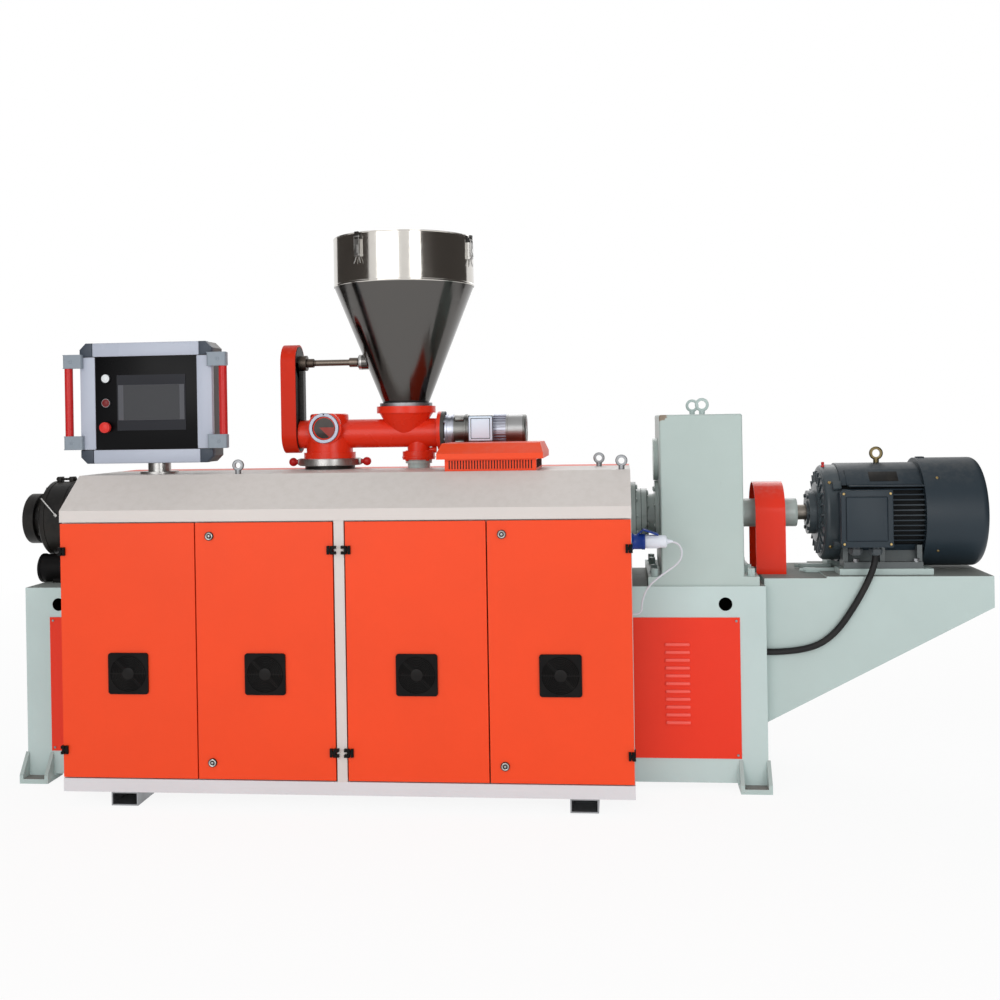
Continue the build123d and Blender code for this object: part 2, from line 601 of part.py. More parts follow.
def gearbox():
    """Gearbox on the frame with its covers and input neck."""
    base_top = FRAME_TOP + GEAR_BASE_T
    case = box(GEAR_X0, GEAR_X1, GEAR_Y0, GEAR_Y1, base_top, GEAR_TOP)
    case = fillet(case.edges().filter_by(Axis.Z) + case.edges().group_by(Axis.Z)[-1], 8)
    case += box(GEAR_BASE_X0, GEAR_BASE_X1, GEAR_Y0, GEAR_Y1, FRAME_TOP, base_top)
    save("gearbox_housing", case)
    output = cyl_x(GEAR_X0 - GEAR_FLANGE_T, GEAR_X0, GEAR_FLANGE_R)
    output += cyl_x(NECK_X0, GEAR_X0 - GEAR_FLANGE_T, NECK_R)
    output += cyl_x(DRIVE_FLANGE_X0, NECK_X0, DRIVE_FLANGE_R)
    cover = cyl_x(GEAR_X0 - GEAR_COVER_T, GEAR_X0, GEAR_COVER_R, z=GEAR_COVER_Z)
    save("gearbox_covers", Compound([output, cover, cyl_x(GEAR_X1, INPUT_NECK_X1, INPUT_NECK_R)]))


def drive():
    """Coupling, guard, bracket and main motor."""
    spin = cyl_x(INPUT_NECK_X1 + GAP, HUB_X1, HUB_R)
    spin += cyl_x(HUB_X1, MOTOR_CAP_X0 - GAP, MOTOR_SHAFT_R)
    save("drive_coupling", spin)

    def arch(r):
        return cyl_x(GUARD_X0, GUARD_X1, r) + box(GUARD_X0, GUARD_X1, AXIS_Y - r, AXIS_Y + r,
                                                  BRACKET_LOW_TOP, AXIS_Z)
    save("coupling_guard", arch(GUARD_R) - arch(GUARD_R - GUARD_T))

    side = [(FRAME_X1, BRACKET_LOW_TOP), (BRACKET_STEP_X, BRACKET_LOW_TOP), (BRACKET_STEP_X, BRACKET_TOP),
            (BRACKET_X1, BRACKET_TOP), (BRACKET_X1, BRACKET_END_Z), (FRAME_X1, BRACKET_ROOT_Z)]
    save("motor_bracket", prism_y(side, BRACKET_Y0, BRACKET_Y1))

    body = cyl_x(BODY_X0, BODY_X1, BODY_R)
    slot = FIN_PITCH - FIN_T
    reach = BODY_R + 5
    n = int(BODY_CORE_R * 0.75 // FIN_PITCH)
    for i in range(-n, n):
        s = i * FIN_PITCH + FIN_T / 2
        inner = (BODY_CORE_R ** 2 - max(abs(s), abs(s + slot)) ** 2) ** 0.5
        for side in (-1, 1):
            a, b = sorted((side * inner, side * reach))
            body -= box(BODY_X0, BODY_X1, AXIS_Y + a, AXIS_Y + b, AXIS_Z + s, AXIS_Z + s + slot)
    bell = cyl_x(BELL_X0, BODY_X0, BELL_R)
    bell = fillet(bell.edges().group_by(Axis.X)[0], 18)
    bell += cyl_x(MOTOR_CAP_X0, BELL_X0, MOTOR_CAP_R)
    save("motor_body", body + bell)
    cowl = cyl_x(BODY_X1, COWL_X1, COWL_R)
    cowl = fillet(cowl.edges().group_by(Axis.X)[-1], COWL_ROUND)
    save("motor_cowl", cowl)

    lid = box(TERM_X0, TERM_X1, TERM_Y0, TERM_Y0 + TERM_LID_T, TERM_Z0, TERM_Z1)
    lid = fillet(lid.edges().filter_by(Axis.Y), 14)
    lid_y = TERM_Y0 + TERM_LID_T
    term = box(TERM_X0 + TERM_LIP, TERM_X1 - TERM_LIP, lid_y, TERM_Y1, TERM_Z0, TERM_Z1 - TERM_LIP)
    term = fillet(term.edges().filter_by(Axis.Y), 8) + lid
    for x in GLAND_X:
        term += cyl_z(TERM_Z0 - GLAND_H, TERM_Z0, GLAND_R, x, GLAND_Y)
    term -= cyl_x(BELL_X0 - 50, COWL_X1, BODY_R)
    save("motor_terminal_box", term)

    feet = []
    for side in (-1, 1):
        y = AXIS_Y + side * RAIL_OFF
        z0 = BRACKET_TOP + RAIL_T
        foot = box(RAIL_X0, RAIL_X1, y - RAIL_W / 2, y + RAIL_W / 2, BRACKET_TOP, z0)
        foot += box(FOOT_PAD_X0, FOOT_PAD_X1, y - FOOT_PAD_W / 2, y + FOOT_PAD_W / 2, z0, z0 + FOOT_PAD_T)
        t, w = FOOT_WEB_T, FOOT_WEB_W / 2
        for x in (FOOT_PAD_X0, (FOOT_PAD_X0 + FOOT_PAD_X1 - t) / 2, FOOT_PAD_X1 - t):
            foot += box(x, x + t, y - w, y + w, z0, AXIS_Z - FOOT_WEB_DROP)
        top, out = AXIS_Z - FOOT_WEB_DROP, y + side * w
        skirt = [(out, z0), (out - side * FOOT_SKIRT_T, z0), (out - side * (FOOT_SKIRT_T + FOOT_SKIRT_LEAN), top),
                 (out - side * FOOT_SKIRT_LEAN, top)]
        foot += prism_x(skirt, FOOT_PAD_X0, FOOT_PAD_X1)
        feet.append(foot - cyl_x(FOOT_PAD_X0 - 10, FOOT_PAD_X1 + 10, BODY_R))
    save("motor_feet", Compound(feet))
    save("motor_cable", tube(MOTOR_CORD, MOTOR_CORD_BEND, MOTOR_CORD_R))


def control_panel():
    """Post, swivelling case, screen, buttons and handles."""
    post = cyl_z(HOOD_TOP, CASE_Z0 - 0.5, POST_R, POST_X, POST_Y)
    post += cyl_z(HOOD_TOP, HOOD_TOP + POST_FLANGE_T, POST_FLANGE_R, POST_X, POST_Y)
    save("panel_post", post)
    case = box(CASE_X0, CASE_X1, CASE_Y0, CASE_Y1, CASE_Z0, CASE_Z1)
    case = chamfer(case.edges().filter_by(Axis.Y), CASE_CORNER)
    a, b = CASE_BAR_W, CASE_BAR_H
    face = box(CASE_X0 + a, CASE_X1 - a, CASE_Y0, CASE_Y0 + FACE_INSET, CASE_Z0 + b, CASE_Z1 - b)
    save("panel_case", case - face)
    plate_y = CASE_Y0 + FACE_INSET
    w, h = SCREEN_W / 2, SCREEN_H / 2
    screen = box(SCREEN_X - w, SCREEN_X + w, plate_y - SCREEN_T, plate_y, SCREEN_Z - h, SCREEN_Z + h)
    save("touch_screen", screen)
    buttons = [cyl_y(plate_y - 14, plate_y, BUTTON_R, BUTTON_X, z) for z in BUTTON_Z[:2]]
    stop = cyl_y(plate_y - 12, plate_y, 12, BUTTON_X, BUTTON_Z[2])
    stop += cyl_y(plate_y - 30, plate_y - 12, STOP_R, BUTTON_X, BUTTON_Z[2])
    save("panel_buttons", Compound([*buttons, stop]))
    handles = []
    yc = CASE_Y0 - HANDLE_FRONT
    for side, wall in ((-1, CASE_X0), (1, CASE_X1)):
        x = wall + side * (HANDLE_OUT - HANDLE_R)
        bar = cyl_z(HANDLE_Z0, HANDLE_Z1, HANDLE_R - 1, x, yc)
        for z in (HANDLE_Z0, HANDLE_Z1):
            arm = sorted((wall - side * CLAMP_LAP, wall + side * HANDLE_OUT))
            clamp = box(*arm, yc - CLAMP_Y / 2, yc + CLAMP_Y / 2, z - CLAMP_H / 2, z + CLAMP_H / 2)
            bar += fillet(clamp.edges().filter_by(Axis.Z), 8)
        handles.append(bar - box(CASE_X0, CASE_X1, CASE_Y0, CASE_Y1, CASE_Z0, CASE_Z1))
    save("panel_handles", Compound(handles))


def feeder():
    """Feeder casting on its base, clamp ring, sight glass and leg."""
    base = cyl_z(FEED_BASE_Z0, FEED_BASE_Z1, FEED_BASE_R, FEED_X) - cyl_x(*FEED_GAP, BARREL_R)
    ring = cyl_z(FEED_BASE_Z1, RING_Z1, RING_R, FEED_X)
    ring = chamfer(ring.edges().filter_by(GeomType.CIRCLE), 2)
    z = (FEED_BASE_Z1 + RING_Z1) / 2
    for side in (-1, 1):
        rod = sorted((FEED_X + side * (RING_R - 8), FEED_X + side * (KNOB_OUT - KNOB_R + 2)))
        ring += cyl_x(*rod, KNOB_ROD_R, z=z)
        ring += Pos(FEED_X + side * KNOB_OUT, AXIS_Y, z) * Sphere(KNOB_R)
    save("clamp_ring", ring)

    body = cyl_z(BOX_NECK_Z, BOX_TOP, BOX_R, FEED_X)
    body = fillet(body.edges().group_by(Axis.Z)[-1], 10)
    body += cone_z(BOX_NECK_Z, BOX_NECK_Z + BOX_SLOPE_H, BOX_NECK_R, BOX_R, FEED_X)
    body += cyl_z(RING_Z1, BOX_NECK_Z, BOX_NECK_R, FEED_X)
    body += cyl_z(RING_Z1, NECK_FLANGE_Z1, NECK_FLANGE_R, FEED_X)
    body += cyl_x(STUB_X0, TUBE_X1, TUBE_R, z=FEED_Z)
    body += cyl_y(GLASS_Y0, AXIS_Y, GLASS_RING_R, FEED_X, GLASS_Z)
    body += cyl_x(TUBE_X1 - 14, TUBE_X1, FM_FLANGE_R, z=FM_Z)
    body += cone_z(FEED_Z, BOWL_FLANGE_Z, TUBE_R, BOWL_R - 10, HOP_X)
    body += cyl_z(BOWL_FLANGE_Z, BOWL_TOP_Z, BOWL_R, HOP_X)
    body += cyl_z(COLLAR_Z1, FEED_Z, LEG_R, LEG_X)
    body += cyl_z(COLLAR_Z0, COLLAR_Z1, COLLAR_R, LEG_X)
    body += cyl_x(LEG_X, LEG_X + ARM_L, ARM_R, z=ARM_Z)
    body -= cyl_y(GLASS_Y0, GLASS_Y0 + 20, GLASS_R, FEED_X, GLASS_Z)
    save("feeder_body", body)
    save("sight_glass", cyl_y(GLASS_Y0 + 6, GLASS_Y0 + 20, GLASS_R, FEED_X, GLASS_Z))
    leg = cyl_z(FEED_BASE_Z0, COLLAR_Z0, LEG_R, LEG_X) - cyl_x(*FEED_GAP, BARREL_R)
    leg += cyl_z(LEG_TOP_RING_Z0, COLLAR_Z0, LEG_R + 8, LEG_X)
    bar_z = (FEED_Z + TUBE_R + GAP, STIR_Z - BEARING_R - GAP)
    bar = box(CHAIN_X1, CHAIN_X1 + POST_BAR_T, AXIS_Y - POST_BAR_W / 2, AXIS_Y + POST_BAR_W / 2, *bar_z)
    save("feeder_supports", Compound([base, leg, bar]))

    motor = cyl_x(TUBE_X1, FM_FLANGE_X1, FM_FLANGE_R, z=FM_Z)
    motor += cyl_x(FM_FLANGE_X1, FM_GEAR_X1, FM_GEAR_R, z=FM_Z)
    motor += cyl_x(FM_GEAR_X1, FM_BODY_X1, FM_BODY_R, z=FM_Z)
    motor += box(*FM_BOX)
    cowl = cyl_x(FM_BODY_X1, FM_COWL_X1, FM_COWL_R, z=FM_Z)
    save("feeder_motor", motor + fillet(cowl.edges().group_by(Axis.X)[-1], 8))

    guard = cyl_x(CHAIN_X0, CHAIN_X1, CHAIN_R, z=FEED_Z) + cyl_x(CHAIN_X0, CHAIN_X1, CHAIN_R, z=STIR_Z)
    guard += box(CHAIN_X0, CHAIN_X1, AXIS_Y - CHAIN_R, AXIS_Y + CHAIN_R, FEED_Z, STIR_Z)
    guard += cyl_x(CHAIN_X1, BEARING_X1, BEARING_R, z=STIR_Z)
    guard += cyl_x(BEARING_X1, STIR_X0, BEARING_NOSE_R, z=STIR_Z)
    save("chain_guard", guard)


def hopper():
    """Hopper shell, ring, latches and the stirrer that turns in it."""
    t = HOP_T
    band = cyl_z(BAND_Z0, BAND_Z1, HOP_R, HOP_X) - cyl_z(BAND_Z0, BAND_Z1, HOP_R - t, HOP_X)
    save("hopper_band", band)
    cone = cone_z(CONE_Z0, BAND_Z0, CONE_R0, HOP_R, HOP_X)
    cone -= cone_z(CONE_Z0, BAND_Z0, CONE_R0 - t, HOP_R - t, HOP_X)
    hole = cyl_x(BOSS_X0, HOP_X, STIR_R + PIN_FIT, z=STIR_Z)
    boss = cyl_x(BOSS_X0, BOSS_X0 + 60, BOSS_R, z=STIR_Z)
    boss -= cone_z(CONE_Z0, BAND_Z0, CONE_R0, HOP_R, HOP_X)
    cone += cyl_z(BOWL_TOP_Z, CONE_Z0, HOP_RING_R, HOP_X) + boss
    save("hopper_cone", cone - hole)
    latches = []
    for a in LATCH_ANGLES:
        w, lever = LATCH_W / 2, LEVER_W / 2
        latch = box(HOP_R - LATCH_T, HOP_R + LATCH_T, -w, w, BAND_Z1 - LATCH_DROP[0], BAND_Z1 - LATCH_DROP[1])
        reach = HOP_R + LEVER_OFF
        latch += box(reach, reach + LEVER_T, -lever, lever, BAND_Z1 - LEVER_DROP, BAND_Z1)
        latch -= cyl_z(BAND_Z0, BAND_Z1, HOP_R, 0, 0)
        latches.append(Pos(HOP_X, AXIS_Y, 0) * Rot(0, 0, a) * latch)
    save("hopper_latches", Compound(latches))

    spin = cyl_x(STIR_X0 + GAP, STIR_X1, STIR_R, z=STIR_Z)
    spin += cyl_x(*STIR_COUPLING, STIR_COUPLING_R, z=STIR_Z)
    for i, x in enumerate(PADDLES):
        rod = cyl_z(STIR_Z - PADDLE_L, STIR_Z + PADDLE_L, PADDLE_R, x)
        if i == 1:
            rod = cyl_y(AXIS_Y - PADDLE_L, AXIS_Y + PADDLE_L, PADDLE_R, x, STIR_Z)
        spin += rod
    save("stirrer_shaft", spin)


def plug():
    """Socket on the cabinet's end wall with a plug and its short cord."""
    socket = cyl_x(CAB_L, SOCKET_X1, SOCKET_R, SOCKET_Y, SOCKET_Z)
    socket = fillet(socket.edges().group_by(Axis.X)[-1], 5)
    body = cyl_x(SOCKET_X1, PLUG_X1, PLUG_R, SOCKET_Y, SOCKET_Z)
    save("socket_plug", socket + fillet(body.edges().group_by(Axis.X)[-1], 9))
    save("plug_cord", tube(PLUG_CORD, PLUG_CORD_BEND, PLUG_CORD_R))


os.makedirs("parts", exist_ok=True)
frame()
cabinet()
doors()
hood()
barrel()
gearbox()
drive()
control_panel()
feeder()
hopper()
plug()
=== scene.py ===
"""Looks and small parts of a conical twin-screw plastic extruder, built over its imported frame."""
import math
from contextlib import contextmanager

import bmesh
import bpy
from mathutils import Matrix, Vector


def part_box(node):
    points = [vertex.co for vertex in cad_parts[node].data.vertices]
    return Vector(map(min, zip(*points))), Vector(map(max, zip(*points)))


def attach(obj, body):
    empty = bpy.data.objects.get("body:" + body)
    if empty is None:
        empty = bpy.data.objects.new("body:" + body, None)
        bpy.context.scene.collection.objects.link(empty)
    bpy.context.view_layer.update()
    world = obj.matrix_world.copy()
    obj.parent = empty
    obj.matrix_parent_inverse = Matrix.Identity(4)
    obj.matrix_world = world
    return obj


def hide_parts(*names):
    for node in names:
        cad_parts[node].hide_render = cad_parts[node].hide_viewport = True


bl_info = {
    "name": "Plastic Extruder",
    "version": (1, 0, 0),
    "blender": (4, 5, 0),
    "location": "View3D > Sidebar > Extruder",
    "description": "Finishes, fasteners, control panel and cords of a plastic extruder",
    "category": "Add Mesh",
}

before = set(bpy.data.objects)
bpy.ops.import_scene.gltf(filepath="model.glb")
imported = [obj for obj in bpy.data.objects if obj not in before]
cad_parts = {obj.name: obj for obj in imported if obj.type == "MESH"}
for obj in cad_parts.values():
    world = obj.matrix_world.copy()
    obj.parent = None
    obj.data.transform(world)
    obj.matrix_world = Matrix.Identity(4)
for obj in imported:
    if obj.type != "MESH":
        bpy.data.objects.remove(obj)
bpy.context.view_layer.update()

MM = 0.001
# The part's origin in the drawing, and lines that several pieces share, in millimetres
ZERO_X, ZERO_Y = 1500.5, 452.5
AXIS_Y, AXIS_Z = 580, 1000  # drive line
FEED_X, FEED_Z, GLASS_Z = 869, 1332, 1356  # feeder's outlet, its tube and its sight glass
LEG_X, GEAR_Z = 1233, 1338  # feeder's leg and geared motor
HOPPER_X, STIR_Z = 1185, 1620  # hopper and stirrer shaft
PLUG_Y, PLUG_Z = 150, 933
LOCKED_DOORS = (2, 4)
LEFT, RIGHT = Vector((-1, 0, 0)), Vector((1, 0, 0))
FRONT, BACK = Vector((0, -1, 0)), Vector((0, 1, 0))
UP, DOWN = Vector((0, 0, 1)), Vector((0, 0, -1))


def at(x, y, z):
    """A point of the drawing, in metres from the part's origin."""
    return Vector(((x - ZERO_X) / 1000, (y - ZERO_Y) / 1000, z / 1000))


def srgb(r, g, b):
    """A screen colour as the linear colour that a shader takes."""
    def linear(c):
        c /= 255
        return c / 12.92 if c <= 0.04045 else ((c + 0.055) / 1.055) ** 2.4
    return (linear(r), linear(g), linear(b))


def colour(name, text, *rgb):
    """A colour property."""
    return bpy.props.FloatVectorProperty(
        name=name, description=text, subtype="COLOR", size=3, min=0, max=1, default=srgb(*rgb))


def length(name, text, mm):
    """A length property, given in millimetres and kept in metres."""
    return bpy.props.FloatProperty(
        name=name, description=text, default=mm / 1000, min=0, precision=4, unit="LENGTH", subtype="DISTANCE")


def count(name, text, number, most):
    """A whole number property."""
    return bpy.props.IntProperty(name=name, description=text, default=number, min=2, max=most)


class ExtruderPaints(bpy.types.PropertyGroup):
    """Colours of the paints, plastics and metals."""
    orange: colour("Orange", "Doors, rear cover and vent", 236, 71, 26)
    red: colour("Red", "Louvred frame panels", 234, 52, 24)
    casting: colour("Casting red", "Feeder casting", 226, 50, 24)
    guard: colour("Guard red", "Chain guard", 206, 44, 20)
    beige: colour("Beige", "Hood, mullion and cabinet sheets", 210, 204, 200)
    green: colour("Pale green", "Motor bracket, feet, supports and bolts", 182, 198, 195)
    motor: colour("Motor grey", "Main motor", 36, 47, 55)
    black: colour("Black", "Plastic fittings", 10, 9, 10)
    head: colour("Black steel", "Barrel head and die flange", 22, 21, 20)
    stainless: colour("Stainless", "Hopper band", 208, 204, 198)
    steel: colour("Bright steel", "Panel post, clamp ring and latches", 172, 171, 169)
    alu: colour("Aluminium", "Geared motor", 176, 179, 190)
    handle: colour("Handle red", "Panel handles and ball knobs", 190, 32, 32)
    blue: colour("Socket blue", "Socket housing", 14, 52, 134)
    white: colour("Plug white", "Plug body", 218, 223, 232)


class ExtruderSizes(bpy.types.PropertyGroup):
    """Sizes of the small parts."""
    screw: length("Panel screw", "Head width of the frame panels' screws", 10)
    gear_bolt: length("Gearbox bolt", "Width of the gearbox's hexagon heads", 26)
    cover_bolt: length("Cover bolt", "Width of the cover bolts' hexagon heads", 15)
    small_bolt: length("Small bolt", "Width of the feeder's hexagon heads", 10)
    grille_wire: length("Grille ring", "Thickness of the fan grilles' rings", 2.6)
    grille_rings: count("Grille rings", "Rings in each fan grille", 8, 12)
    vent_slots: count("Vent slots", "Slots in the vent's front", 30, 60)
    fins: count("Geared motor fins", "Fins round the geared motor", 28, 60)
    bar_wide: length("Panel side bar", "Width of the control panel's side bars", 60)
    bar_high: length("Panel top bar", "Height of the control panel's top and bottom bars", 52)
    corner: length("Panel corner", "Width of the control panel's corner blocks", 50)


class StageSettings(bpy.types.PropertyGroup):
    """Camera and light."""
    lens: bpy.props.FloatProperty(
        name="Lens", description="Focal length in millimetres", default=43.2, min=10, max=200)
    floor: colour("Floor", "Colour of the studio floor", 246, 246, 246)
    sky: bpy.props.FloatProperty(
        name="Sky", description="Strength of the even light", default=0.58, min=0, max=4)
    lamps: bpy.props.FloatProperty(
        name="Lamps", description="Strength of the soft lamps", default=0.72, min=0, max=4)


# Node groups shared by the materials

def new_group(name, inputs, outputs):
    """An empty shader group with its sockets, and its input and output nodes."""
    group = bpy.data.node_groups.new(name, "ShaderNodeTree")
    for label, kind, value in inputs:
        socket = group.interface.new_socket(name=label, in_out="INPUT", socket_type="NodeSocket" + kind)
        if value is not None:
            socket.default_value = value
    for label, kind in outputs:
        group.interface.new_socket(name=label, in_out="OUTPUT", socket_type="NodeSocket" + kind)
    return group, group.nodes.new("NodeGroupInput").outputs, group.nodes.new("NodeGroupOutput").inputs


def wire(tree, value, socket):
    """Links a socket, or sets a constant."""
    if hasattr(value, "links"):
        tree.links.new(value, socket)
    elif hasattr(socket.default_value, "__len__") and len(socket.default_value) == 4 and len(value) == 3:
        socket.default_value = (*value, 1.0)
    else:
        socket.default_value = value


def add_noise(tree, scale, detail, vector, roughness=0.5):
    """A noise texture on a vector socket."""
    node = tree.nodes.new("ShaderNodeTexNoise")
    for label, value in (("Scale", scale), ("Detail", detail), ("Roughness", roughness), ("Vector", vector)):
        wire(tree, value, node.inputs[label])
    return node.outputs["Fac"]


def add_math(tree, operation, a, b=0.0, clamp=False):
    """A maths node on sockets or numbers."""
    node = tree.nodes.new("ShaderNodeMath")
    node.operation = operation
    node.use_clamp = clamp
    wire(tree, a, node.inputs[0])
    wire(tree, b, node.inputs[1])
    return node.outputs[0]


def add_vector(tree, operation, a, b, output="Vector"):
    """A vector maths node on sockets or vectors."""
    node = tree.nodes.new("ShaderNodeVectorMath")
    node.operation = operation
    wire(tree, a, node.inputs[0])
    wire(tree, b, node.inputs[1])
    return node.outputs[output]


def add_range(tree, value, low, high, to_low=0.0, to_high=1.0):
    """A clamped map range node."""
    node = tree.nodes.new("ShaderNodeMapRange")
    for socket, number in zip(node.inputs, (value, low, high, to_low, to_high)):
        wire(tree, number, socket)
    return node.outputs["Result"]


def add_mix(tree, factor, a, b, blend="MIX", kind="RGBA"):
    """A mix node for colours, values or vectors."""
    node = tree.nodes.new("ShaderNodeMix")
    node.data_type = kind
    if kind == "RGBA":
        node.blend_type = blend
    first = {"FLOAT": 2, "VECTOR": 4, "RGBA": 6}[kind]
    wire(tree, factor, node.inputs[0])
    wire(tree, a, node.inputs[first])
    wire(tree, b, node.inputs[first + 1])
    return node.outputs[{"FLOAT": 0, "VECTOR": 1, "RGBA": 2}[kind]]


def add_bump(tree, height, strength, distance):
    """A bump node."""
    node = tree.nodes.new("ShaderNodeBump")
    node.inputs["Distance"].default_value = distance
    wire(tree, height, node.inputs["Height"])
    wire(tree, strength, node.inputs["Strength"])
    return node.outputs["Normal"]


def object_coords(tree):
    """The object coordinates socket."""
    return tree.nodes.new("ShaderNodeTexCoord").outputs["Object"]


SURFACE = [("Colour", "Color"), ("Roughness", "Float"), ("Normal", "Vector")]


def make_paint_group():
    """Sprayed paint: cloudy shade, fine peel, dust on what faces up, scuffs and one chipped corner."""
    group, given, out = new_group(
        "Sprayed paint",
        [("Colour", "Color", None), ("Roughness", "Float", 0.4), ("Cloud", "Float", 0.3), ("Peel", "Float", 0.12),
         ("Dust", "Float", 0.2), ("Dust colour", "Color", None), ("Film", "Float", 0.0), ("Scuff", "Float", 0.2),
         ("Chip place", "Vector", (0, 0, -9)), ("Chip size", "Float", 0.0)], SURFACE)
    coords = object_coords(group)
    cloud = add_noise(group, 2.3, 5, coords, 0.6)
    shade = group.nodes.new("ShaderNodeCombineColor")
    for socket in shade.inputs:
        group.links.new(add_range(group, cloud, 0.3, 0.7, 0.84, 1.05), socket)
    paint = add_mix(group, given["Cloud"], given["Colour"], shade.outputs[0], "MULTIPLY")
    split = group.nodes.new("ShaderNodeSeparateXYZ")
    group.links.new(group.nodes.new("ShaderNodeNewGeometry").outputs["Normal"], split.inputs[0])
    specks = add_range(group, add_noise(group, 34, 6, coords, 0.65), 0.42, 0.68)
    specks = add_math(group, "MAXIMUM", specks, given["Film"])
    upward = add_math(group, "MULTIPLY", add_range(group, split.outputs["Z"], 0.45, 0.95), specks)
    dust = add_math(group, "MULTIPLY", upward, given["Dust"], clamp=True)
    paint = add_mix(group, dust, paint, given["Dust colour"])
    grain = add_noise(group, 11, 8, coords, 0.72)
    scuff = add_math(group, "MULTIPLY", add_range(group, grain, 0.66, 0.74), given["Scuff"])
    paint = add_mix(group, scuff, paint, srgb(96, 88, 82))
    away = add_vector(group, "DISTANCE", coords, given["Chip place"], "Value")
    chip = add_math(group, "DIVIDE", away, add_math(group, "ADD", given["Chip size"], 0.0001))
    chip = add_range(group, add_math(group, "ADD", chip, add_noise(group, 60, 6, coords, 0.7)), 1.28, 1.12)
    paint = add_mix(group, chip, paint, srgb(138, 124, 108))
    group.links.new(paint, out["Colour"])
    rough = add_math(group, "ADD", given["Roughness"], add_range(group, cloud, 0.3, 0.7, -0.05, 0.07))
    rough = add_math(group, "ADD", rough, add_math(group, "MULTIPLY", dust, 0.5), clamp=True)
    group.links.new(rough, out["Roughness"])
    group.links.new(add_bump(group, add_noise(group, 320, 2, coords), given["Peel"], 0.0006), out["Normal"])
    return group


def make_metal_group():
    """Bare metal: fine streaks along one direction, stains and small scratches."""
    group, given, out = new_group(
        "Worked metal",
        [("Colour", "Color", None), ("Roughness", "Float", 0.3), ("Streaks", "Vector", (30, 30, 900)),
         ("Stain", "Float", 0.2), ("Depth", "Float", 0.1)], SURFACE)
    coords = object_coords(group)
    streak = add_noise(group, 1.0, 3, add_vector(group, "MULTIPLY", coords, given["Streaks"]))
    stain = add_range(group, add_noise(group, 6, 7, coords, 0.65), 0.45, 0.75)
    dull = add_math(group, "MULTIPLY", stain, given["Stain"])
    group.links.new(add_mix(group, dull, given["Colour"], srgb(104, 98, 92)), out["Colour"])
    rough = add_math(group, "ADD", given["Roughness"], add_range(group, streak, 0.2, 0.8, -0.05, 0.07))
    rough = add_math(group, "ADD", rough, add_math(group, "MULTIPLY", dull, 0.4), clamp=True)
    group.links.new(rough, out["Roughness"])
    group.links.new(add_bump(group, streak, given["Depth"], 0.0004), out["Normal"])
    return group


def make_cast_group():
    """Cast or moulded skin: grainy surface with a little dirt."""
    group, given, out = new_group(
        "Cast skin",
        [("Colour", "Color", None), ("Roughness", "Float", 0.5), ("Grain", "Float", 260.0), ("Depth", "Float", 0.3),
         ("Dirt", "Float", 0.2)], SURFACE)
    coords = object_coords(group)
    grain = add_noise(group, given["Grain"], 4, coords)
    dirt = add_math(group, "MULTIPLY", add_range(group, add_noise(group, 9, 6, coords, 0.6), 0.4, 0.72),
                    given["Dirt"])
    group.links.new(add_mix(group, dirt, given["Colour"], srgb(120, 112, 102)), out["Colour"])
    rough = add_math(group, "ADD", given["Roughness"], add_range(group, grain, 0.3, 0.7, -0.08, 0.08))
    rough = add_math(group, "ADD", rough, add_math(group, "MULTIPLY", dirt, 0.3), clamp=True)
    group.links.new(rough, out["Roughness"])
    group.links.new(add_bump(group, grain, given["Depth"], 0.0008), out["Normal"])
    return group


def make_place_group():
    """A mask that is 1 beyond a plane through the object."""
    group, given, out = new_group(
        "Place mask", [("Axis", "Vector", (1, 0, 0)), ("Offset", "Float", 0.0)], [("Mask", "Float")])
    along = add_vector(group, "DOT_PRODUCT", object_coords(group), given["Axis"], "Value")
    past = add_math(group, "SUBTRACT", along, given["Offset"])
    group.links.new(add_range(group, past, -0.0002, 0.0002), out["Mask"])
    return group


def make_round_group():
    """A mask that is 1 beyond a radius from an axis along X."""
    group, given, out = new_group(
        "Round mask", [("Centre", "Vector", (0, 0, 0)), ("Radius", "Float", 0.1)], [("Mask", "Float")])
    from_centre = add_vector(group, "SUBTRACT", object_coords(group), given["Centre"])
    across = add_vector(group, "MULTIPLY", from_centre, (0, 1, 1))
    away = add_vector(group, "LENGTH", across, (0, 0, 0), "Value")
    past = add_math(group, "SUBTRACT", away, given["Radius"])
    group.links.new(add_range(group, past, -0.004, 0.004), out["Mask"])
    return group


MAKERS = {"paint": make_paint_group, "metal": make_metal_group, "cast": make_cast_group, "place": make_place_group,
          "round": make_round_group}
GROUPS = {}
FINISHES = {}
SPECS = {}


def add_group(tree, kind, values):
    """A node of a shared group with its values set."""
    if kind not in GROUPS:
        GROUPS[kind] = MAKERS[kind]()
    node = tree.nodes.new("ShaderNodeGroup")
    node.node_tree = GROUPS[kind]
    for label, value in values.items():
        wire(tree, value, node.inputs[label])
    return node.outputs


def start_material(name):
    """A material with nodes, its tree and its shader."""
    material = bpy.data.materials.new(name)
    material.use_nodes = True
    FINISHES[name] = material
    return material, material.node_tree, material.node_tree.nodes["Principled BSDF"]


def new_material(name, kind, values, **sockets):
    """A material whose surface comes from one shared group."""
    material, tree, shader = start_material(name)
    surface = add_group(tree, kind, values)
    for label, socket in (("Colour", "Base Color"), ("Roughness", "Roughness"), ("Normal", "Normal")):
        tree.links.new(surface[label], shader.inputs[socket])
    for label, value in sockets.items():
        shader.inputs[label.replace("_", " ")].default_value = value
    material.diffuse_color = (*values["Colour"], 1.0)
    SPECS[name] = (kind, values, sockets)


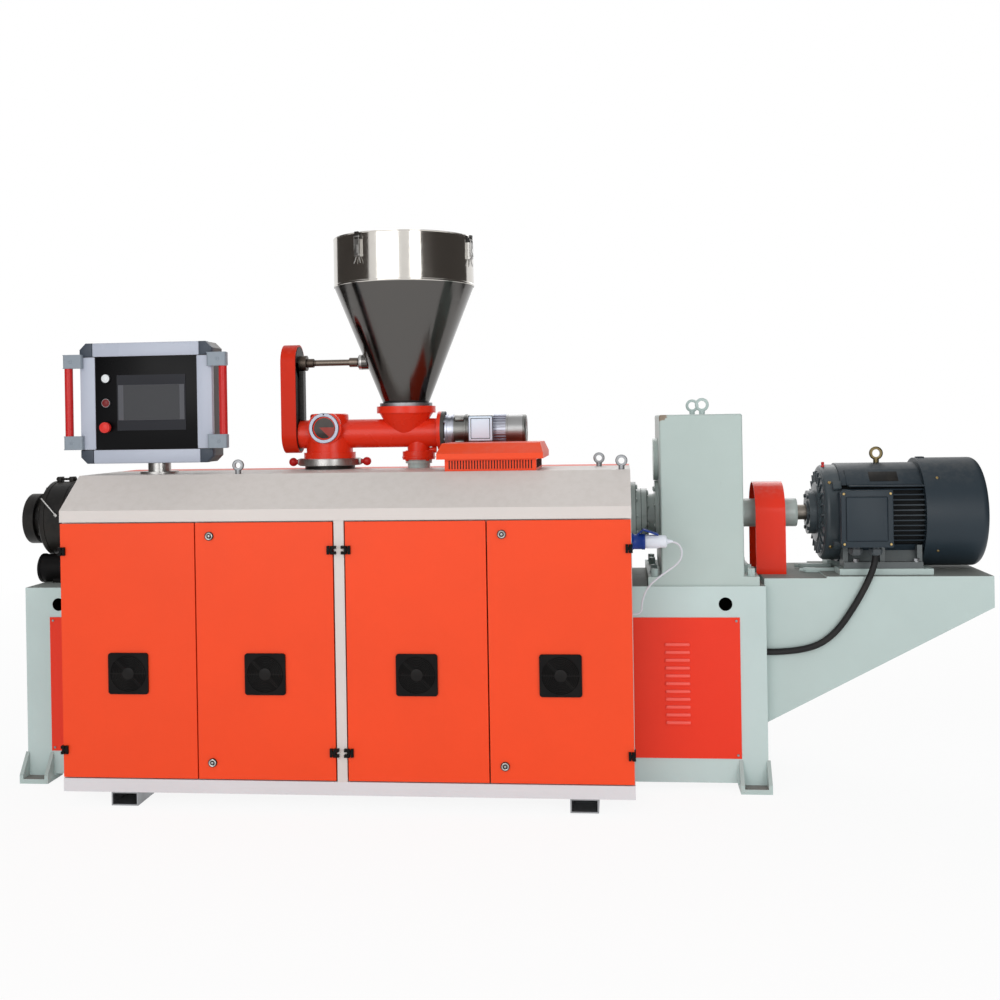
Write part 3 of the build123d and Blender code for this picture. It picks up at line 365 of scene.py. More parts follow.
def zones(name, finishes, axis, places, masks=(), shine=0.3):
    """A material that changes from finish to finish at places along an axis, and by other masks before them."""
    material, tree, shader = start_material(name)
    surfaces = [add_group(tree, *SPECS[finish][:2]) for finish in finishes]
    metals = [SPECS[finish][2].get("Metallic", 0.0) for finish in finishes]
    masks = [add_group(tree, *mask)["Mask"] for mask in masks]
    for place in places:
        offset = at(*(abs(c) * place for c in axis)).dot(axis)
        masks.append(add_group(tree, "place", {"Axis": axis, "Offset": offset})["Mask"])
    for label, socket, kind in (("Colour", "Base Color", "RGBA"), ("Roughness", "Roughness", "FLOAT"),
                                ("Normal", "Normal", "VECTOR"), (None, "Metallic", "FLOAT")):
        values = [surface[label] for surface in surfaces] if label else metals
        mixed = values[0]
        for mask, value in zip(masks, values[1:]):
            mixed = add_mix(tree, mask, mixed, value, kind=kind)
        tree.links.new(mixed, shader.inputs[socket])
    shader.inputs["Specular IOR Level"].default_value = shine
    material.diffuse_color = (*SPECS[finishes[0]][1]["Colour"], 1.0)


def paint(name, base, rough=0.4, cloud=0.3, peel=0.10, dust=0.2, scuff=0.1, chip=(0, 0, -9), chip_size=0.0,
          shine=0.28, grime=(176, 168, 158), film=0.0):
    """A sprayed finish."""
    new_material(name, "paint", {
        "Colour": base, "Roughness": rough, "Cloud": cloud, "Peel": peel, "Dust": dust, "Dust colour": srgb(*grime),
        "Film": film, "Scuff": scuff, "Chip place": chip, "Chip size": chip_size}, Specular_IOR_Level=shine)


def metal(name, base, rough, streaks, stain=0.2, depth=0.08):
    """A bare metal finish."""
    new_material(name, "metal", {
        "Colour": base, "Roughness": rough, "Streaks": streaks, "Stain": stain, "Depth": depth}, Metallic=1.0)


def cast(name, base, rough, grain, depth, dirt, shine=0.28):
    """A cast or moulded finish."""
    new_material(name, "cast", {
        "Colour": base, "Roughness": rough, "Grain": grain, "Depth": depth, "Dirt": dirt}, Specular_IOR_Level=shine)


def make_finishes():
    """All paints, metals and plastics of the machine."""
    p = bpy.context.scene.extruder_paints
    green = {"rough": 0.34, "cloud": 0.35, "scuff": 0.15}
    # Darker on upward faces, towards (112, 107, 101) over most of their area.
    dark_tops = {**green, "dust": 0.85, "grime": (112, 107, 101), "film": 0.8}
    clean = {"dust": 0.0, "scuff": 0.0}
    paint("door_orange", p.orange, dust=0.08)
    paint("panel_red", p.red, rough=0.32, scuff=0.15)
    paint("gloss_red", srgb(224, 46, 20), rough=0.14, cloud=0.25, shine=0.24)
    paint("hood_beige", p.beige, rough=0.36, cloud=0.22)
    paint("plinth_beige", srgb(214, 214, 217), rough=0.36, cloud=0.22)
    paint("frame_green", p.green, dust=0.3, **green)
    # The frame base and the motor bracket are darker on their upward faces.
    paint("base_green", srgb(191, 208, 206), **dark_tops)
    paint("bracket_green", p.green, **dark_tops)
    paint("gearbox_green", srgb(178, 193, 189), cloud=0.35, dust=0.3, scuff=0.15, chip=at(2184, 305, 1390),
          chip_size=0.04)
    paint("flange_green", srgb(178, 191, 187), rough=0.2, cloud=0.35, scuff=0.15, shine=0.5)
    paint("feet_worn", p.green, cloud=0.5, dust=1.0, scuff=0.8, grime=(118, 108, 104), film=0.8)
    paint("casting_red", p.casting, rough=0.27, cloud=0.35, peel=0.35, dust=0.08)
    paint("guard_red", p.guard, rough=0.34, shine=0.08)
    # Painted highlight: a lighter, pinker red than the panels for the sheen on the louvres' rounded ridges.
    paint("louvre_sheen_red", srgb(246, 96, 84), rough=0.22, cloud=0.2, **clean)
    paint("motor_grey", p.motor, cloud=0.5, peel=0.2, dust=0.07)
    # Painted shade: near-black for the gaps between the main motor's fins.
    paint("fin_gap_shade", srgb(14, 17, 20), rough=0.7, **clean)
    # Painted light: a lighter copy of the motor grey for the end bell, where the light falls.
    paint("bell_lit_grey", srgb(60, 69, 74), rough=0.3, cloud=0.4, peel=0.3, dust=0.1)
    # Painted light: a lighter copy of the motor grey for the motor's feet, lit from the front.
    paint("foot_lit_grey", srgb(88, 94, 95), rough=0.34, cloud=0.4, peel=0.2, dust=0.3)
    paint("flange_dark", srgb(66, 66, 64), cloud=0.4, dust=0.1)
    paint("box_white", srgb(222, 238, 252), rough=0.3, cloud=0.2, dust=0.0)
    paint("screen_rim", srgb(38, 39, 44), rough=0.3, cloud=0.1, peel=0.05, shine=0.1, **clean)
    paint("screen_frame", srgb(84, 85, 90), rough=0.3, cloud=0.1, peel=0.0, shine=0.1, **clean)
    paint("screen_dark", srgb(60, 61, 64), rough=0.12, cloud=0.45, peel=0.0, shine=0.1, **clean)
    paint("face_black", srgb(9, 9, 11), rough=0.3, peel=0.05, dust=0.05, scuff=0.03, shine=0.1)
    paint("case_dark", srgb(48, 41, 39), scuff=0.05)
    paint("panel_aluminium", srgb(176, 182, 196), rough=0.3, cloud=0.15, dust=0.0, scuff=0.02)

    metal("stainless", p.stainless, 0.1, (14, 14, 420), stain=0.12, depth=0.04)
    # Painted reflection: the cone's polished steel is a much darker copy of the stainless, for the dark surroundings
    # it reflects.
    metal("cone_reflection_steel", srgb(94, 92, 90), 0.12, (14, 14, 420), stain=0.12, depth=0.04)
    metal("bright_steel", p.steel, 0.28, (700, 60, 60), stain=0.3)
    metal("dull_steel", srgb(132, 126, 118), 0.36, (700, 60, 60), stain=0.45)
    metal("cast_aluminium", p.alu, 0.34, (240, 240, 240), stain=0.35, depth=0.2)
    metal("cowl_grey", srgb(150, 150, 150), 0.34, (200, 200, 200))
    metal("gear_steel", srgb(112, 112, 110), 0.32, (240, 240, 240), stain=0.4, depth=0.2)
    metal("ring_steel", srgb(150, 154, 166), 0.4, (200, 200, 200), stain=0.1)
    metal("old_steel", srgb(78, 69, 62), 0.4, (500, 60, 60), stain=0.4)
    metal("shaft_steel", srgb(104, 95, 87), 0.32, (500, 60, 60), stain=0.3)
    metal("zinc", srgb(150, 152, 155), 0.42, (180, 180, 180), stain=0.35)
    metal("brass", srgb(176, 152, 104), 0.34, (300, 300, 300), stain=0.25)
    metal("gilt_steel", srgb(104, 92, 62), 0.34, (300, 300, 300), stain=0.4)

    cast("black_plastic", p.black, 0.5, 420, 0.15, 0.03, shine=0.1)
    cast("grille_black", srgb(22, 21, 21), 0.4, 420, 0.1, 0.03, shine=0.12)
    cast("black_steel", p.head, 0.42, 160, 0.3, 0.12, shine=0.2)
    cast("handle_red", p.handle, 0.3, 300, 0.05, 0.05)
    cast("clamp_grey", srgb(134, 144, 154), 0.4, 300, 0.1, 0.08)
    cast("corner_grey", srgb(58, 66, 77), 0.42, 300, 0.1, 0.05)
    cast("cable_black", srgb(14, 14, 16), 0.55, 500, 0.2, 0.06)
    cast("cord_grey", srgb(206, 207, 214), 0.5, 500, 0.1, 0.1)
    cast("socket_blue", p.blue, 0.34, 400, 0.08, 0.05)
    cast("plug_white", p.white, 0.36, 400, 0.08, 0.08)
    cast("button_white", srgb(222, 226, 228), 0.3, 400, 0.05, 0.05)
    cast("button_dark_red", srgb(112, 22, 26), 0.3, 400, 0.05, 0.05)
    cast("stop_red", srgb(214, 44, 38), 0.34, 400, 0.05, 0.05)
    # Painted shade: dark brown for the shade inside the vent's slots.
    cast("slot_shade", srgb(30, 14, 10), 0.8, 300, 0.1, 0.1)
    cast("gland_grey", srgb(70, 76, 80), 0.45, 300, 0.1, 0.1)
    # Painted shade: near-black for holes and hollows, standing for the shade inside them.
    cast("shade_black", srgb(10, 10, 10), 0.8, 300, 0.1, 0.0, shine=0.05)
    # Painted reflection: a lighter red for the reflection in the sight glass.
    cast("reflection_red", srgb(150, 46, 36), 0.1, 30, 0.02, 0.3, shine=0.15)
    cast("sight_glass", srgb(48, 40, 37), 0.08, 30, 0.02, 0.2, shine=0.2)

    zones("coupling_mix", ("flange_green", "dull_steel"), RIGHT, (2700.5,), shine=0.5)
    # Above the rails the motor's feet take the lighter grey of painted light.
    zones("feet_mix", ("frame_green", "foot_lit_grey"), UP, (802.2,))
    zones("plug_mix", ("socket_blue", "plug_white"), RIGHT, (2121.2,))
    zones("eye_mix", ("zinc", "frame_green", "gilt_steel"), RIGHT, (2200, 2800))
    zones("support_mix", ("black_steel", "frame_green"), RIGHT, (1100,))
    zones("guard_mix", ("guard_red", "old_steel"), RIGHT, (750.6,), shine=0.1)
    # Above 1452 mm the cone takes the darker steel of painted reflection.
    zones("cone_mix", ("zinc", "cone_reflection_steel"), UP, (1452.2,))
    zones("stirrer_mix", ("old_steel", "shaft_steel"), RIGHT, (820,))
    zones("handle_mix", ("clamp_grey", "handle_red", "clamp_grey"), UP, (1340.2, 1602.8))
    zones("button_mix", ("stop_red", "button_dark_red", "button_white"), UP, (1420, 1514))
    zones("geared_mix", ("flange_dark", "cast_aluminium", "gear_steel", "cast_aluminium", "cowl_grey", "gear_steel"),
          RIGHT, (1346, 1382, 1440, 1590.2, 1656))
    # Painted shade: inside 180 mm of the drive line the motor body takes the near-black of its fin gaps. Painted
    # light: left of X 2862 the end bell takes a lighter copy of the motor grey.
    zones("motor_mix", ("fin_gap_shade", "motor_grey", "bell_lit_grey"), LEFT, (2862.2,),
          [("round", {"Centre": at(0, AXIS_Y, AXIS_Z), "Radius": 0.18})])
    zones("barrel_mix", ("black_steel", "flange_green"), RIGHT, (2050,))
    zones("latch_mix", ("bright_steel", "black_steel"), UP, (2078,))
    zones("ring_mix", ("handle_red", "bright_steel", "handle_red"), RIGHT, (735.5, 1002.5))


# Shapes: places are points of the drawing, and all lengths are in millimetres

def size(key):
    """One of the size settings: a length in millimetres, or a number."""
    value = getattr(bpy.context.scene.extruder_sizes, key)
    return value if isinstance(value, int) else value / MM


def mid(x, z=AXIS_Z):
    """A point in the drive's upright plane, on the drive line if no height is given."""
    return Vector((x, AXIS_Y, z))


def spoke(degrees, upright=False):
    """A direction at an angle round the X axis, or round an upright axis."""
    a = math.radians(degrees)
    return Vector((math.cos(a), math.sin(a), 0)) if upright else Vector((0, math.cos(a), math.sin(a)))


def around(foot, axis, n, radius, turn=0.0):
    """Points on a circle about a foot, across the X axis or an upright axis."""
    return [Vector(foot) + spoke(360 * (i + turn) / n, axis.z) * radius for i in range(n)]


def turned(axis):
    """Turns +Z onto an axis."""
    return UP.rotation_difference(Vector(axis)).to_matrix().to_4x4()


def edges_of(verts):
    """The edges that meet at some vertices."""
    return list({e for v in verts for e in v.link_edges})


def round_off(bm, edges, width, segments=2):
    """Rounds a set of edges."""
    bmesh.ops.bevel(bm, geom=edges, offset=width * MM, segments=segments, profile=0.5, affect="EDGES", material=-1)


def add_block(bm, middle, across, bevel=0, segments=2, turn=Matrix(), offset=(0, 0, 0)):
    """A block about a point, turned there and moved along its own axes, with rounded edges."""
    place = Matrix.Translation(at(*middle)) @ turn @ Matrix.Translation(Vector(offset) * MM)
    made = bmesh.ops.create_cube(bm, size=1, matrix=place @ Matrix.Diagonal((*(Vector(across) * MM), 1)))["verts"]
    if bevel:
        round_off(bm, edges_of(made), bevel, segments)
    return made


def add_box(bm, low, high, bevel=0, segments=2):
    """A block between two corners."""
    low, high = Vector(low), Vector(high)
    return add_block(bm, (low + high) / 2, high - low, bevel, segments)


def add_bar(bm, start, end, across, width, thick, bevel=0):
    """A flat bar from point to point, its width along an axis."""
    start, end = Vector(start), Vector(end)
    z = (end - start).normalized()
    x = Vector(across).normalized()
    turn = Matrix((x, z.cross(x), z)).transposed().to_4x4()
    add_block(bm, (start + end) / 2, (width, thick, (end - start).length), bevel, turn=turn)


def add_spokes(bm, foot, n, away, across, bevel, sweep=math.tau):
    """Blocks set round the X axis through a foot."""
    for k in range(n):
        add_block(bm, foot, across, bevel, turn=Matrix.Rotation(sweep * k / n, 4, "X"), offset=(0, 0, away))


def add_disc(bm, foot, axis, radius, depth, segments=32, bevel=0):
    """A round slab that stands up from its foot along an axis."""
    axis = Vector(axis).normalized()
    middle = at(*(Vector(foot) + axis * depth / 2))
    made = bmesh.ops.create_cone(
        bm, cap_ends=True, segments=segments, radius1=radius * MM, radius2=radius * MM, depth=depth * MM,
        matrix=Matrix.Translation(middle) @ turned(axis))["verts"]
    if bevel:
        top = depth * 0.49 * MM
        round_off(bm, [e for e in edges_of(made) if all((v.co - middle).dot(axis) > top for v in e.verts)], bevel)


def cut(bm, place, normal):
    """Cuts off what lies beyond a plane and closes the cut."""
    bmesh.ops.bisect_plane(bm, geom=bm.verts[:] + bm.edges[:] + bm.faces[:], plane_co=at(*place), plane_no=normal,
                           clear_outer=True)
    bmesh.ops.holes_fill(bm, edges=[e for e in bm.edges if e.is_boundary])


def add_spun(bm, verts, foot, axis, segments):
    """Spins a profile about Z and sets it up on an axis."""
    before = set(bm.verts) - set(verts)
    bmesh.ops.spin(bm, geom=verts + edges_of(verts), cent=(0, 0, 0), axis=(0, 0, 1), angle=math.tau, steps=segments,
                   use_merge=True)
    made = [v for v in bm.verts if v not in before]
    bmesh.ops.transform(bm, matrix=Matrix.Translation(at(*foot)) @ turned(axis), verts=made)


def add_ring(bm, centre, axis, radius, thick, segments, sides):
    """A round ring of round wire."""
    turn = Matrix.Translation((radius * MM, 0, 0)) @ Matrix.Rotation(math.pi / 2, 4, "X")
    add_spun(bm, bmesh.ops.create_circle(bm, segments=sides, radius=thick * MM, matrix=turn)["verts"],
             centre, axis, segments)


def add_lathe(bm, foot, axis, profile, segments=48):
    """A turned shape: (radius, height) points spun about an axis."""
    verts = [bm.verts.new((r * MM, 0, h * MM)) for r, h in profile]
    for pair in zip(verts, verts[1:]):
        bm.edges.new(pair)
    add_spun(bm, verts, foot, axis, segments)


def add_hoop(bm, middle, axis, inner, outer, half, edge, segments=48):
    """A rim: half its width at its foot, and half the width of its outer face."""
    add_lathe(bm, middle, axis, [(inner, -half), (outer, -edge), (outer, edge), (inner, half)], segments)


def add_bolt(bm, foot, axis, width, washer=False, tall=0.42):
    """A hexagon bolt head, on a washer if asked."""
    lift = width * 0.12 if washer else 0.0
    if washer:
        add_disc(bm, foot, axis, width * 0.64, lift, 20, width * 0.04)
    add_disc(bm, Vector(foot) + axis * lift, axis, width * 0.56, width * tall, 6, width * 0.07)


def add_bolts(bm, foot, axis, n, radius, width, turn=0.5, washer=False):
    """A circle of bolt heads."""
    for point in around(foot, axis, n, radius, turn):
        add_bolt(bm, point, axis, width, washer)


def add_screw(bm, foot, axis, width):
    """A round head with a socket in it."""
    h = width * 0.3
    add_lathe(bm, foot, axis, [(0, h * 0.5), (width * 0.17, h * 0.5), (width * 0.2, h), (width * 0.38, h * 0.92),
                               (width * 0.5, h * 0.35), (width * 0.5, 0), (0, 0)], 18)


def add_screws(bm, xs, y, zs, axis, width):
    """Screws at all crossings of some lines."""
    for x in xs:
        for z in zs:
            add_screw(bm, (x, y, z), axis, width)


def add_object(name, bm):
    """Makes a mesh object of a bmesh."""
    mesh = bpy.data.meshes.new(name)
    bm.to_mesh(mesh)
    bm.free()
    made = bpy.data.objects.new(name, mesh)
    bpy.context.scene.collection.objects.link(made)
    return made


@contextmanager
def piece(name, finish, slot, body="machine", smooth=40):
    """A bmesh to fill, which then becomes a named piece with its finish on its body."""
    bm = bmesh.new()
    yield bm
    bmesh.ops.remove_doubles(bm, verts=bm.verts, dist=1e-6)
    bmesh.ops.recalc_face_normals(bm, faces=bm.faces)
    made = add_object(name, bm)
    made.data.shade_smooth()
    made.data.set_sharp_from_angle(angle=math.radians(smooth))
    made.data.materials.append(FINISHES[finish])
    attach(made, body)


NODE_FINISH = {
    "door_orange": ("door_1", "door_2", "door_3", "door_4", "rear_cover_back", "rear_cover_top", "vent_hood"),
    "panel_red": ("frame_panels",),
    "gloss_red": ("coupling_guard",),
    "casting_red": ("feeder_body",),
    "guard_mix": ("chain_guard",),
    "hood_beige": ("hood_front", "hood_top", "cabinet_back", "cabinet_mullion", "cabinet_sides", "cabinet_top"),
    "plinth_beige": ("cabinet_plinth",),
    "feet_worn": ("frame_feet",),
    "base_green": ("frame_base",),
    "bracket_green": ("motor_bracket",),
    "flange_green": ("gearbox_covers",),
    "frame_green": ("barrel_supports",),
    "gearbox_green": ("gearbox_housing",),
    "motor_grey": ("motor_cowl", "motor_terminal_box"),
    "motor_mix": ("motor_body",),
    "black_steel": ("barrel_head", "die_flange"),
    "barrel_mix": ("barrel",),
    "black_plastic": ("blower", "door_1_fittings", "door_2_fittings", "door_3_fittings", "door_4_fittings",
                      "hinge_brackets"),
    "stainless": ("hopper_band",),
    "bright_steel": ("panel_post",),
    "cone_mix": ("hopper_cone",),
    "ring_mix": ("clamp_ring",),
    "latch_mix": ("hopper_latches",),
    "stirrer_mix": ("stirrer_shaft",),
    "coupling_mix": ("drive_coupling",),
    "feet_mix": ("motor_feet",),
    "eye_mix": ("lifting_eyes",),
    "support_mix": ("feeder_supports",),
    "plug_mix": ("socket_plug",),
    "geared_mix": ("feeder_motor",),
    "case_dark": ("panel_case",),
    "handle_mix": ("panel_handles",),
    "button_mix": ("panel_buttons",),
    "screen_rim": ("touch_screen",),
    "zinc": ("cabinet_feet",),
    "cable_black": ("motor_cable",),
    "cord_grey": ("plug_cord",),
    "sight_glass": ("sight_glass",),
}


class EXTRUDER_OT_finishes(bpy.types.Operator):
    """Paint the frame's own nodes"""
    bl_idname = "extruder.finishes"
    bl_label = "Paint Frame"

    def execute(self, context):
        make_finishes()
        for finish, nodes in NODE_FINISH.items():
            for node in nodes:
                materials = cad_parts[node].data.materials
                materials.clear()
                materials.append(FINISHES[finish])
        return {"FINISHED"}


class EXTRUDER_OT_doors(bpy.types.Operator):
    """Fan grilles and locks on the doors"""
    bl_idname = "extruder.doors"
    bl_label = "Door Fittings"

    def execute(self, context):
        rings = size("grille_rings")
        for n in range(1, 5):
            door = f"door_{n}"
            left, right = (corner.x / MM + ZERO_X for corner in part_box(door))
            centre = Vector(((left + right) / 2, -4, 482))
            with piece(f"{door}_grille_rings", "grille_black", "black_plastic", door) as bm:
                for i in range(rings):
                    radius = 26.5 + (66.5 - 26.5) * i / (rings - 1)
                    add_ring(bm, centre + FRONT * 1.4, FRONT, radius, size("grille_wire") / 2, 44, 6)
                for degrees, lift in ((0, 0), (45, -3), (45, 3)):
                    add_block(bm, centre + FRONT * 1.6, (133, 3, 2.4), 0.6,
                              turn=Matrix.Rotation(math.radians(degrees), 4, "Y"), offset=(0, 0, lift))
                add_disc(bm, centre, FRONT, 22.5, 4.2, 32, 1)
            # A near-black disc behind the grille rings is painted shade inside the fan.
            with piece(f"{door}_grille_well", "shade_black", "black_plastic", door) as bm:
                add_disc(bm, centre + BACK * 0.4, FRONT, 69, 0.8, 48)
            if n not in LOCKED_DOORS:
                continue
            feet = [(left + 52, -6, z) for z in (162, 977)]
            with piece(f"{door}_lock_faces", "bright_steel", "bright_steel", door) as bm:
                for foot in feet:
                    add_lathe(bm, foot, FRONT, [(8, 0.6), (9, 1.8), (11.2, 2.4), (13.2, 1.4), (13.6, -6)], 32)
                    add_disc(bm, foot, FRONT, 4.2, 1.8, 24, 0.6)
            # Painted shade: a black disc in each lock's recess and a black ring round its rim stand for the shade
            # there.
            with piece(f"{door}_lock_wells", "black_steel", "black_plastic", door) as bm:
                for foot in feet:
                    add_lathe(bm, foot, FRONT, [(0, 0.8), (8.6, 0.8)], 32)
                    add_lathe(bm, foot, FRONT, [(13.2, 0.6), (15.4, 0.4), (15.8, -6)], 32)
        return {"FINISHED"}


class EXTRUDER_OT_frame_fasteners(bpy.types.Operator):
    """Screws and louvres of the frame panels, and bars and bolts on the motor bracket"""
    bl_idname = "extruder.frame_fasteners"
    bl_label = "Frame Fasteners"

    def execute(self, context):
        sides = ((295, FRONT), (865, BACK))
        with piece("panel_screws", "zinc", "bright_steel") as bm:
            for y, out in sides:
                add_screws(bm, (-175, 259, 2020, 2454), y, (128, 623), out, size("screw"))
        # The louvre ridges take the lighter red of painted highlight.
        with piece("louvre_ridges", "louvre_sheen_red", "red_panel_paint", smooth=60) as bm:
            for x in (42.5, 2237.5):
                for i in range(11):
                    for y, out in sides:
                        add_block(bm, Vector((x, y, 247.5 + 28.9 * i)) + out * 3.5, (91, 9.5, 12.5), 4.6, 3)
        # Near-black linings in the lifting holes are painted shade inside them.
        with piece("lifting_hole_shade", "shade_black", "frame_paint") as bm:
            for x in (-153, 2416):
                for y, inward in ((299.5, BACK), (860.5, FRONT)):
                    add_lathe(bm, (x, y, 685), inward, [(24.7, 0), (24.7, 72), (0, 74)], 40)
        with piece("slide_bars", "frame_green", "frame_paint") as bm:
            for y in (AXIS_Y - 64, AXIS_Y + 64):
                add_box(bm, (2738, y - 9, 774), (2856, y + 9, 792), 2)
                add_disc(bm, (2738, y, 784), LEFT, 6, 22, 16)
                add_bolt(bm, (2738, y, 784), LEFT, 16)
        with piece("motor_foot_bolts", "zinc", "bright_steel") as bm:
            for y in (AXIS_Y - 174, AXIS_Y + 174):
                for x in (2908, 3128):
                    add_bolt(bm, (x, y, 826), UP, 20, washer=True, tall=0.5)
        return {"FINISHED"}


class EXTRUDER_OT_gearbox(bpy.types.Operator):
    """Bolts of the gearbox and the barrel's flanges, clamps of the barrel head, and the blower's rims"""
    bl_idname = "extruder.gearbox"
    bl_label = "Gearbox Bolts"

    def execute(self, context):
        cover = size("cover_bolt")
        with piece("gearbox_base_bolts", "frame_green", "frame_paint") as bm:
            for x in (2160, 2515):
                for y in (338, 458, 702, 822):
                    add_bolt(bm, (x, y, 785), UP, size("gear_bolt"), washer=True, tall=0.95)
        with piece("cover_bolts", "flange_green", "frame_paint") as bm:
            add_bolts(bm, mid(2170), LEFT, 8, 104, cover)
            add_bolts(bm, mid(2139), RIGHT, 8, 88, cover)
        with piece("barrel_flange_bolts", "flange_green", "dark_steel") as bm:
            add_hoop(bm, mid(2117.5), RIGHT, 97.6, 98.8, 1.5, 0.7)
            add_bolts(bm, mid(2055), LEFT, 10, 110, cover, turn=0, washer=True)
            add_bolts(bm, mid(2095), RIGHT, 10, 110, cover, turn=0, washer=True)
        with piece("flange_joints", "black_steel", "dark_steel") as bm:
            for x, radius in ((2095.1, 125.2), (2116.1, 99.2), (2138.1, 99.2)):
                add_hoop(bm, mid(x), RIGHT, radius - 4, radius, 1.1, 0.8)
        with piece("head_clamps", "black_steel", "dark_steel") as bm:
            for x in (-282, -208):
                add_hoop(bm, mid(x), RIGHT, 151, 154.5, 9, 8)
            for x in (-271, -219):
                add_box(bm, (x - 9, AXIS_Y - 16, 1149), (x + 9, AXIS_Y + 16, 1172), 2)
            add_disc(bm, mid(-288, 1162), RIGHT, 5, 86, 16)
            add_bolt(bm, mid(-280, 1162), LEFT, 14)
            add_bolt(bm, mid(-210, 1162), RIGHT, 14)
            add_bolts(bm, mid(-300), LEFT, 8, 132, 18)
            for point in around(mid(-305), LEFT, 8, 118, 0.5):
                add_block(bm, point, (14, 18, 18), 3)
        with piece("probe_rod", "bright_steel", "bright_steel") as bm:
            root = Vector((-216, 424, 1019))
            run = Vector((-278, 420, 1092)) - root
            add_disc(bm, root, run, 2.6, run.length, 16, 0.8)
            add_disc(bm, root, run, 6, 14, 6, 1)
        with piece("blower_rims", "black_plastic", "black_plastic") as bm:
            for x in (-296, -190, -100):
                add_hoop(bm, (x, 480, 807), RIGHT, 55.5, 58.5, 6, 5)
        return {"FINISHED"}


class EXTRUDER_OT_vent(bpy.types.Operator):
    """Slots in the vent on the hood"""
    bl_idname = "extruder.vent"
    bl_label = "Vent Slots"

    def execute(self, context):
        long_side = size("vent_slots")
        x0, x1, y0, y1 = 1394, 1732, 190, 510
        short_side = round(long_side * (y1 - y0) / (x1 - x0))
        # Dark brown blocks on the vent's walls are painted shade in its slots.
        with piece("vent_slots", "slot_shade", "orange_paint") as bm:
            for i in range(long_side):
                x = x0 + 12 + (x1 - x0 - 24) * (i + 0.5) / long_side
                for y in (y0 + 0.6, y1 - 0.6):
                    add_block(bm, (x, y, 1215), (4.8, 2, 32), 0.6, 1)
            for i in range(short_side):
                y = y0 + 12 + (y1 - y0 - 24) * (i + 0.5) / short_side
                for x in (x0 + 0.6, x1 - 0.6):
                    add_block(bm, (x, y, 1215), (2, 4.8, 32), 0.6, 1)
        return {"FINISHED"}


class EXTRUDER_OT_motor(bpy.types.Operator):
    """Lid, ribs, screws, plate and grille of the main motor"""
    bl_idname = "extruder.motor"
    bl_label = "Motor Details"

    def execute(self, context):
        with piece("terminal_lid", "motor_grey", "motor_paint") as bm:
            add_box(bm, (2832, 265, 894), (3017, 273, 1101), 3.5, 3)
            add_box(bm, (2849, 260, 917), (2997, 267, 1079), 5.5, 3)
        with piece("motor_screws", "brass", "bright_steel") as bm:
            add_screws(bm, (2842, 3007), 265, (906, 1089), FRONT, 10.5)
            for out in map(spoke, (-139, -41, 41, 139)):
                add_screw(bm, mid(3211) + out * 206.8, out, 11)
                add_screw(bm, mid(2822) + out * 183.8, out, 14)
        slope = Matrix.Rotation(math.radians(42.5), 4, "X")
        with piece("motor_ribs", "motor_mix", "motor_paint") as bm:
            add_block(bm, mid(3020), (276, 84, 8), 3, turn=slope, offset=(0, 0, 188.5))
            add_box(bm, (2886, 397, 1106), (3160, 432, 1112), 1.5)
            add_box(bm, (3172, AXIS_Y - 18, 1205), (3200, AXIS_Y + 18, 1211), 2)
            for out in map(spoke, (-145, -35, 35, 145)):
                middle = mid(2846) + out * 190
                add_bar(bm, middle + LEFT * 16, middle + RIGHT * 16, out, 20, 34, 4)
            add_lathe(bm, mid(2800), LEFT, [(166, -4), (166, 2), (158, 4), (120, 6), (112, 14), (84, 16)])
            add_spokes(bm, mid(2796), 24, 138, (14, 6, 44), 1.5)
        with piece("bare_plate", "black_steel", "black_plastic") as bm:
            add_block(bm, mid(3020), (105, 50, 1.6), 0.5, turn=slope, offset=(1, 0, 193))
        # The cap bolts take the end bell's lighter grey of painted light.
        with piece("motor_cap_bolts", "bell_lit_grey", "motor_paint") as bm:
            add_bolts(bm, mid(2757), LEFT, 6, 70, 14, turn=0)
            add_lathe(bm, mid(2757), LEFT, [(36, -2), (36, 6), (48, 6), (52, -2)])
        with piece("hub_collar", "flange_green", "frame_paint", "coupling") as bm:
            add_lathe(bm, mid(2699), RIGHT, [(55.2, 0), (55.2, 14), (53.5, 17), (28.5, 17)])
        with piece("grease_cap", "handle_red", "handle_red") as bm:
            add_lathe(bm, (2814, AXIS_Y - 40, 1178), UP, [
                (7.5, -6), (7.5, 4), (5, 5), (5, 9), (6.2, 10), (6.2, 15), (4, 18), (0, 18)], 20)
        with piece("gland_nuts", "gland_grey", "black_plastic") as bm:
            for x in (2892, 2964):
                add_disc(bm, (x, 325, 896), DOWN, 21.5, 12, 6, 2)
                add_disc(bm, (x, 325, 884), DOWN, 25.5, 16, 6, 3)
                add_lathe(bm, (x, 325, 868), DOWN, [(22.5, -1), (22.5, 1), (17.5, 7), (13.5, 8), (12.8, 5)], 24)
            add_disc(bm, (2892, 325, 868), DOWN, 14, 2, 24)
        with piece("cowl_grille", "motor_grey", "motor_paint") as bm:
            for radius in range(40, 161, 24):
                add_ring(bm, mid(3387.4), RIGHT, radius, 2.6, 56, 6)
            add_spokes(bm, mid(3388), 3, 0, (3.6, 330, 7), 0.8, sweep=math.pi)
        return {"FINISHED"}


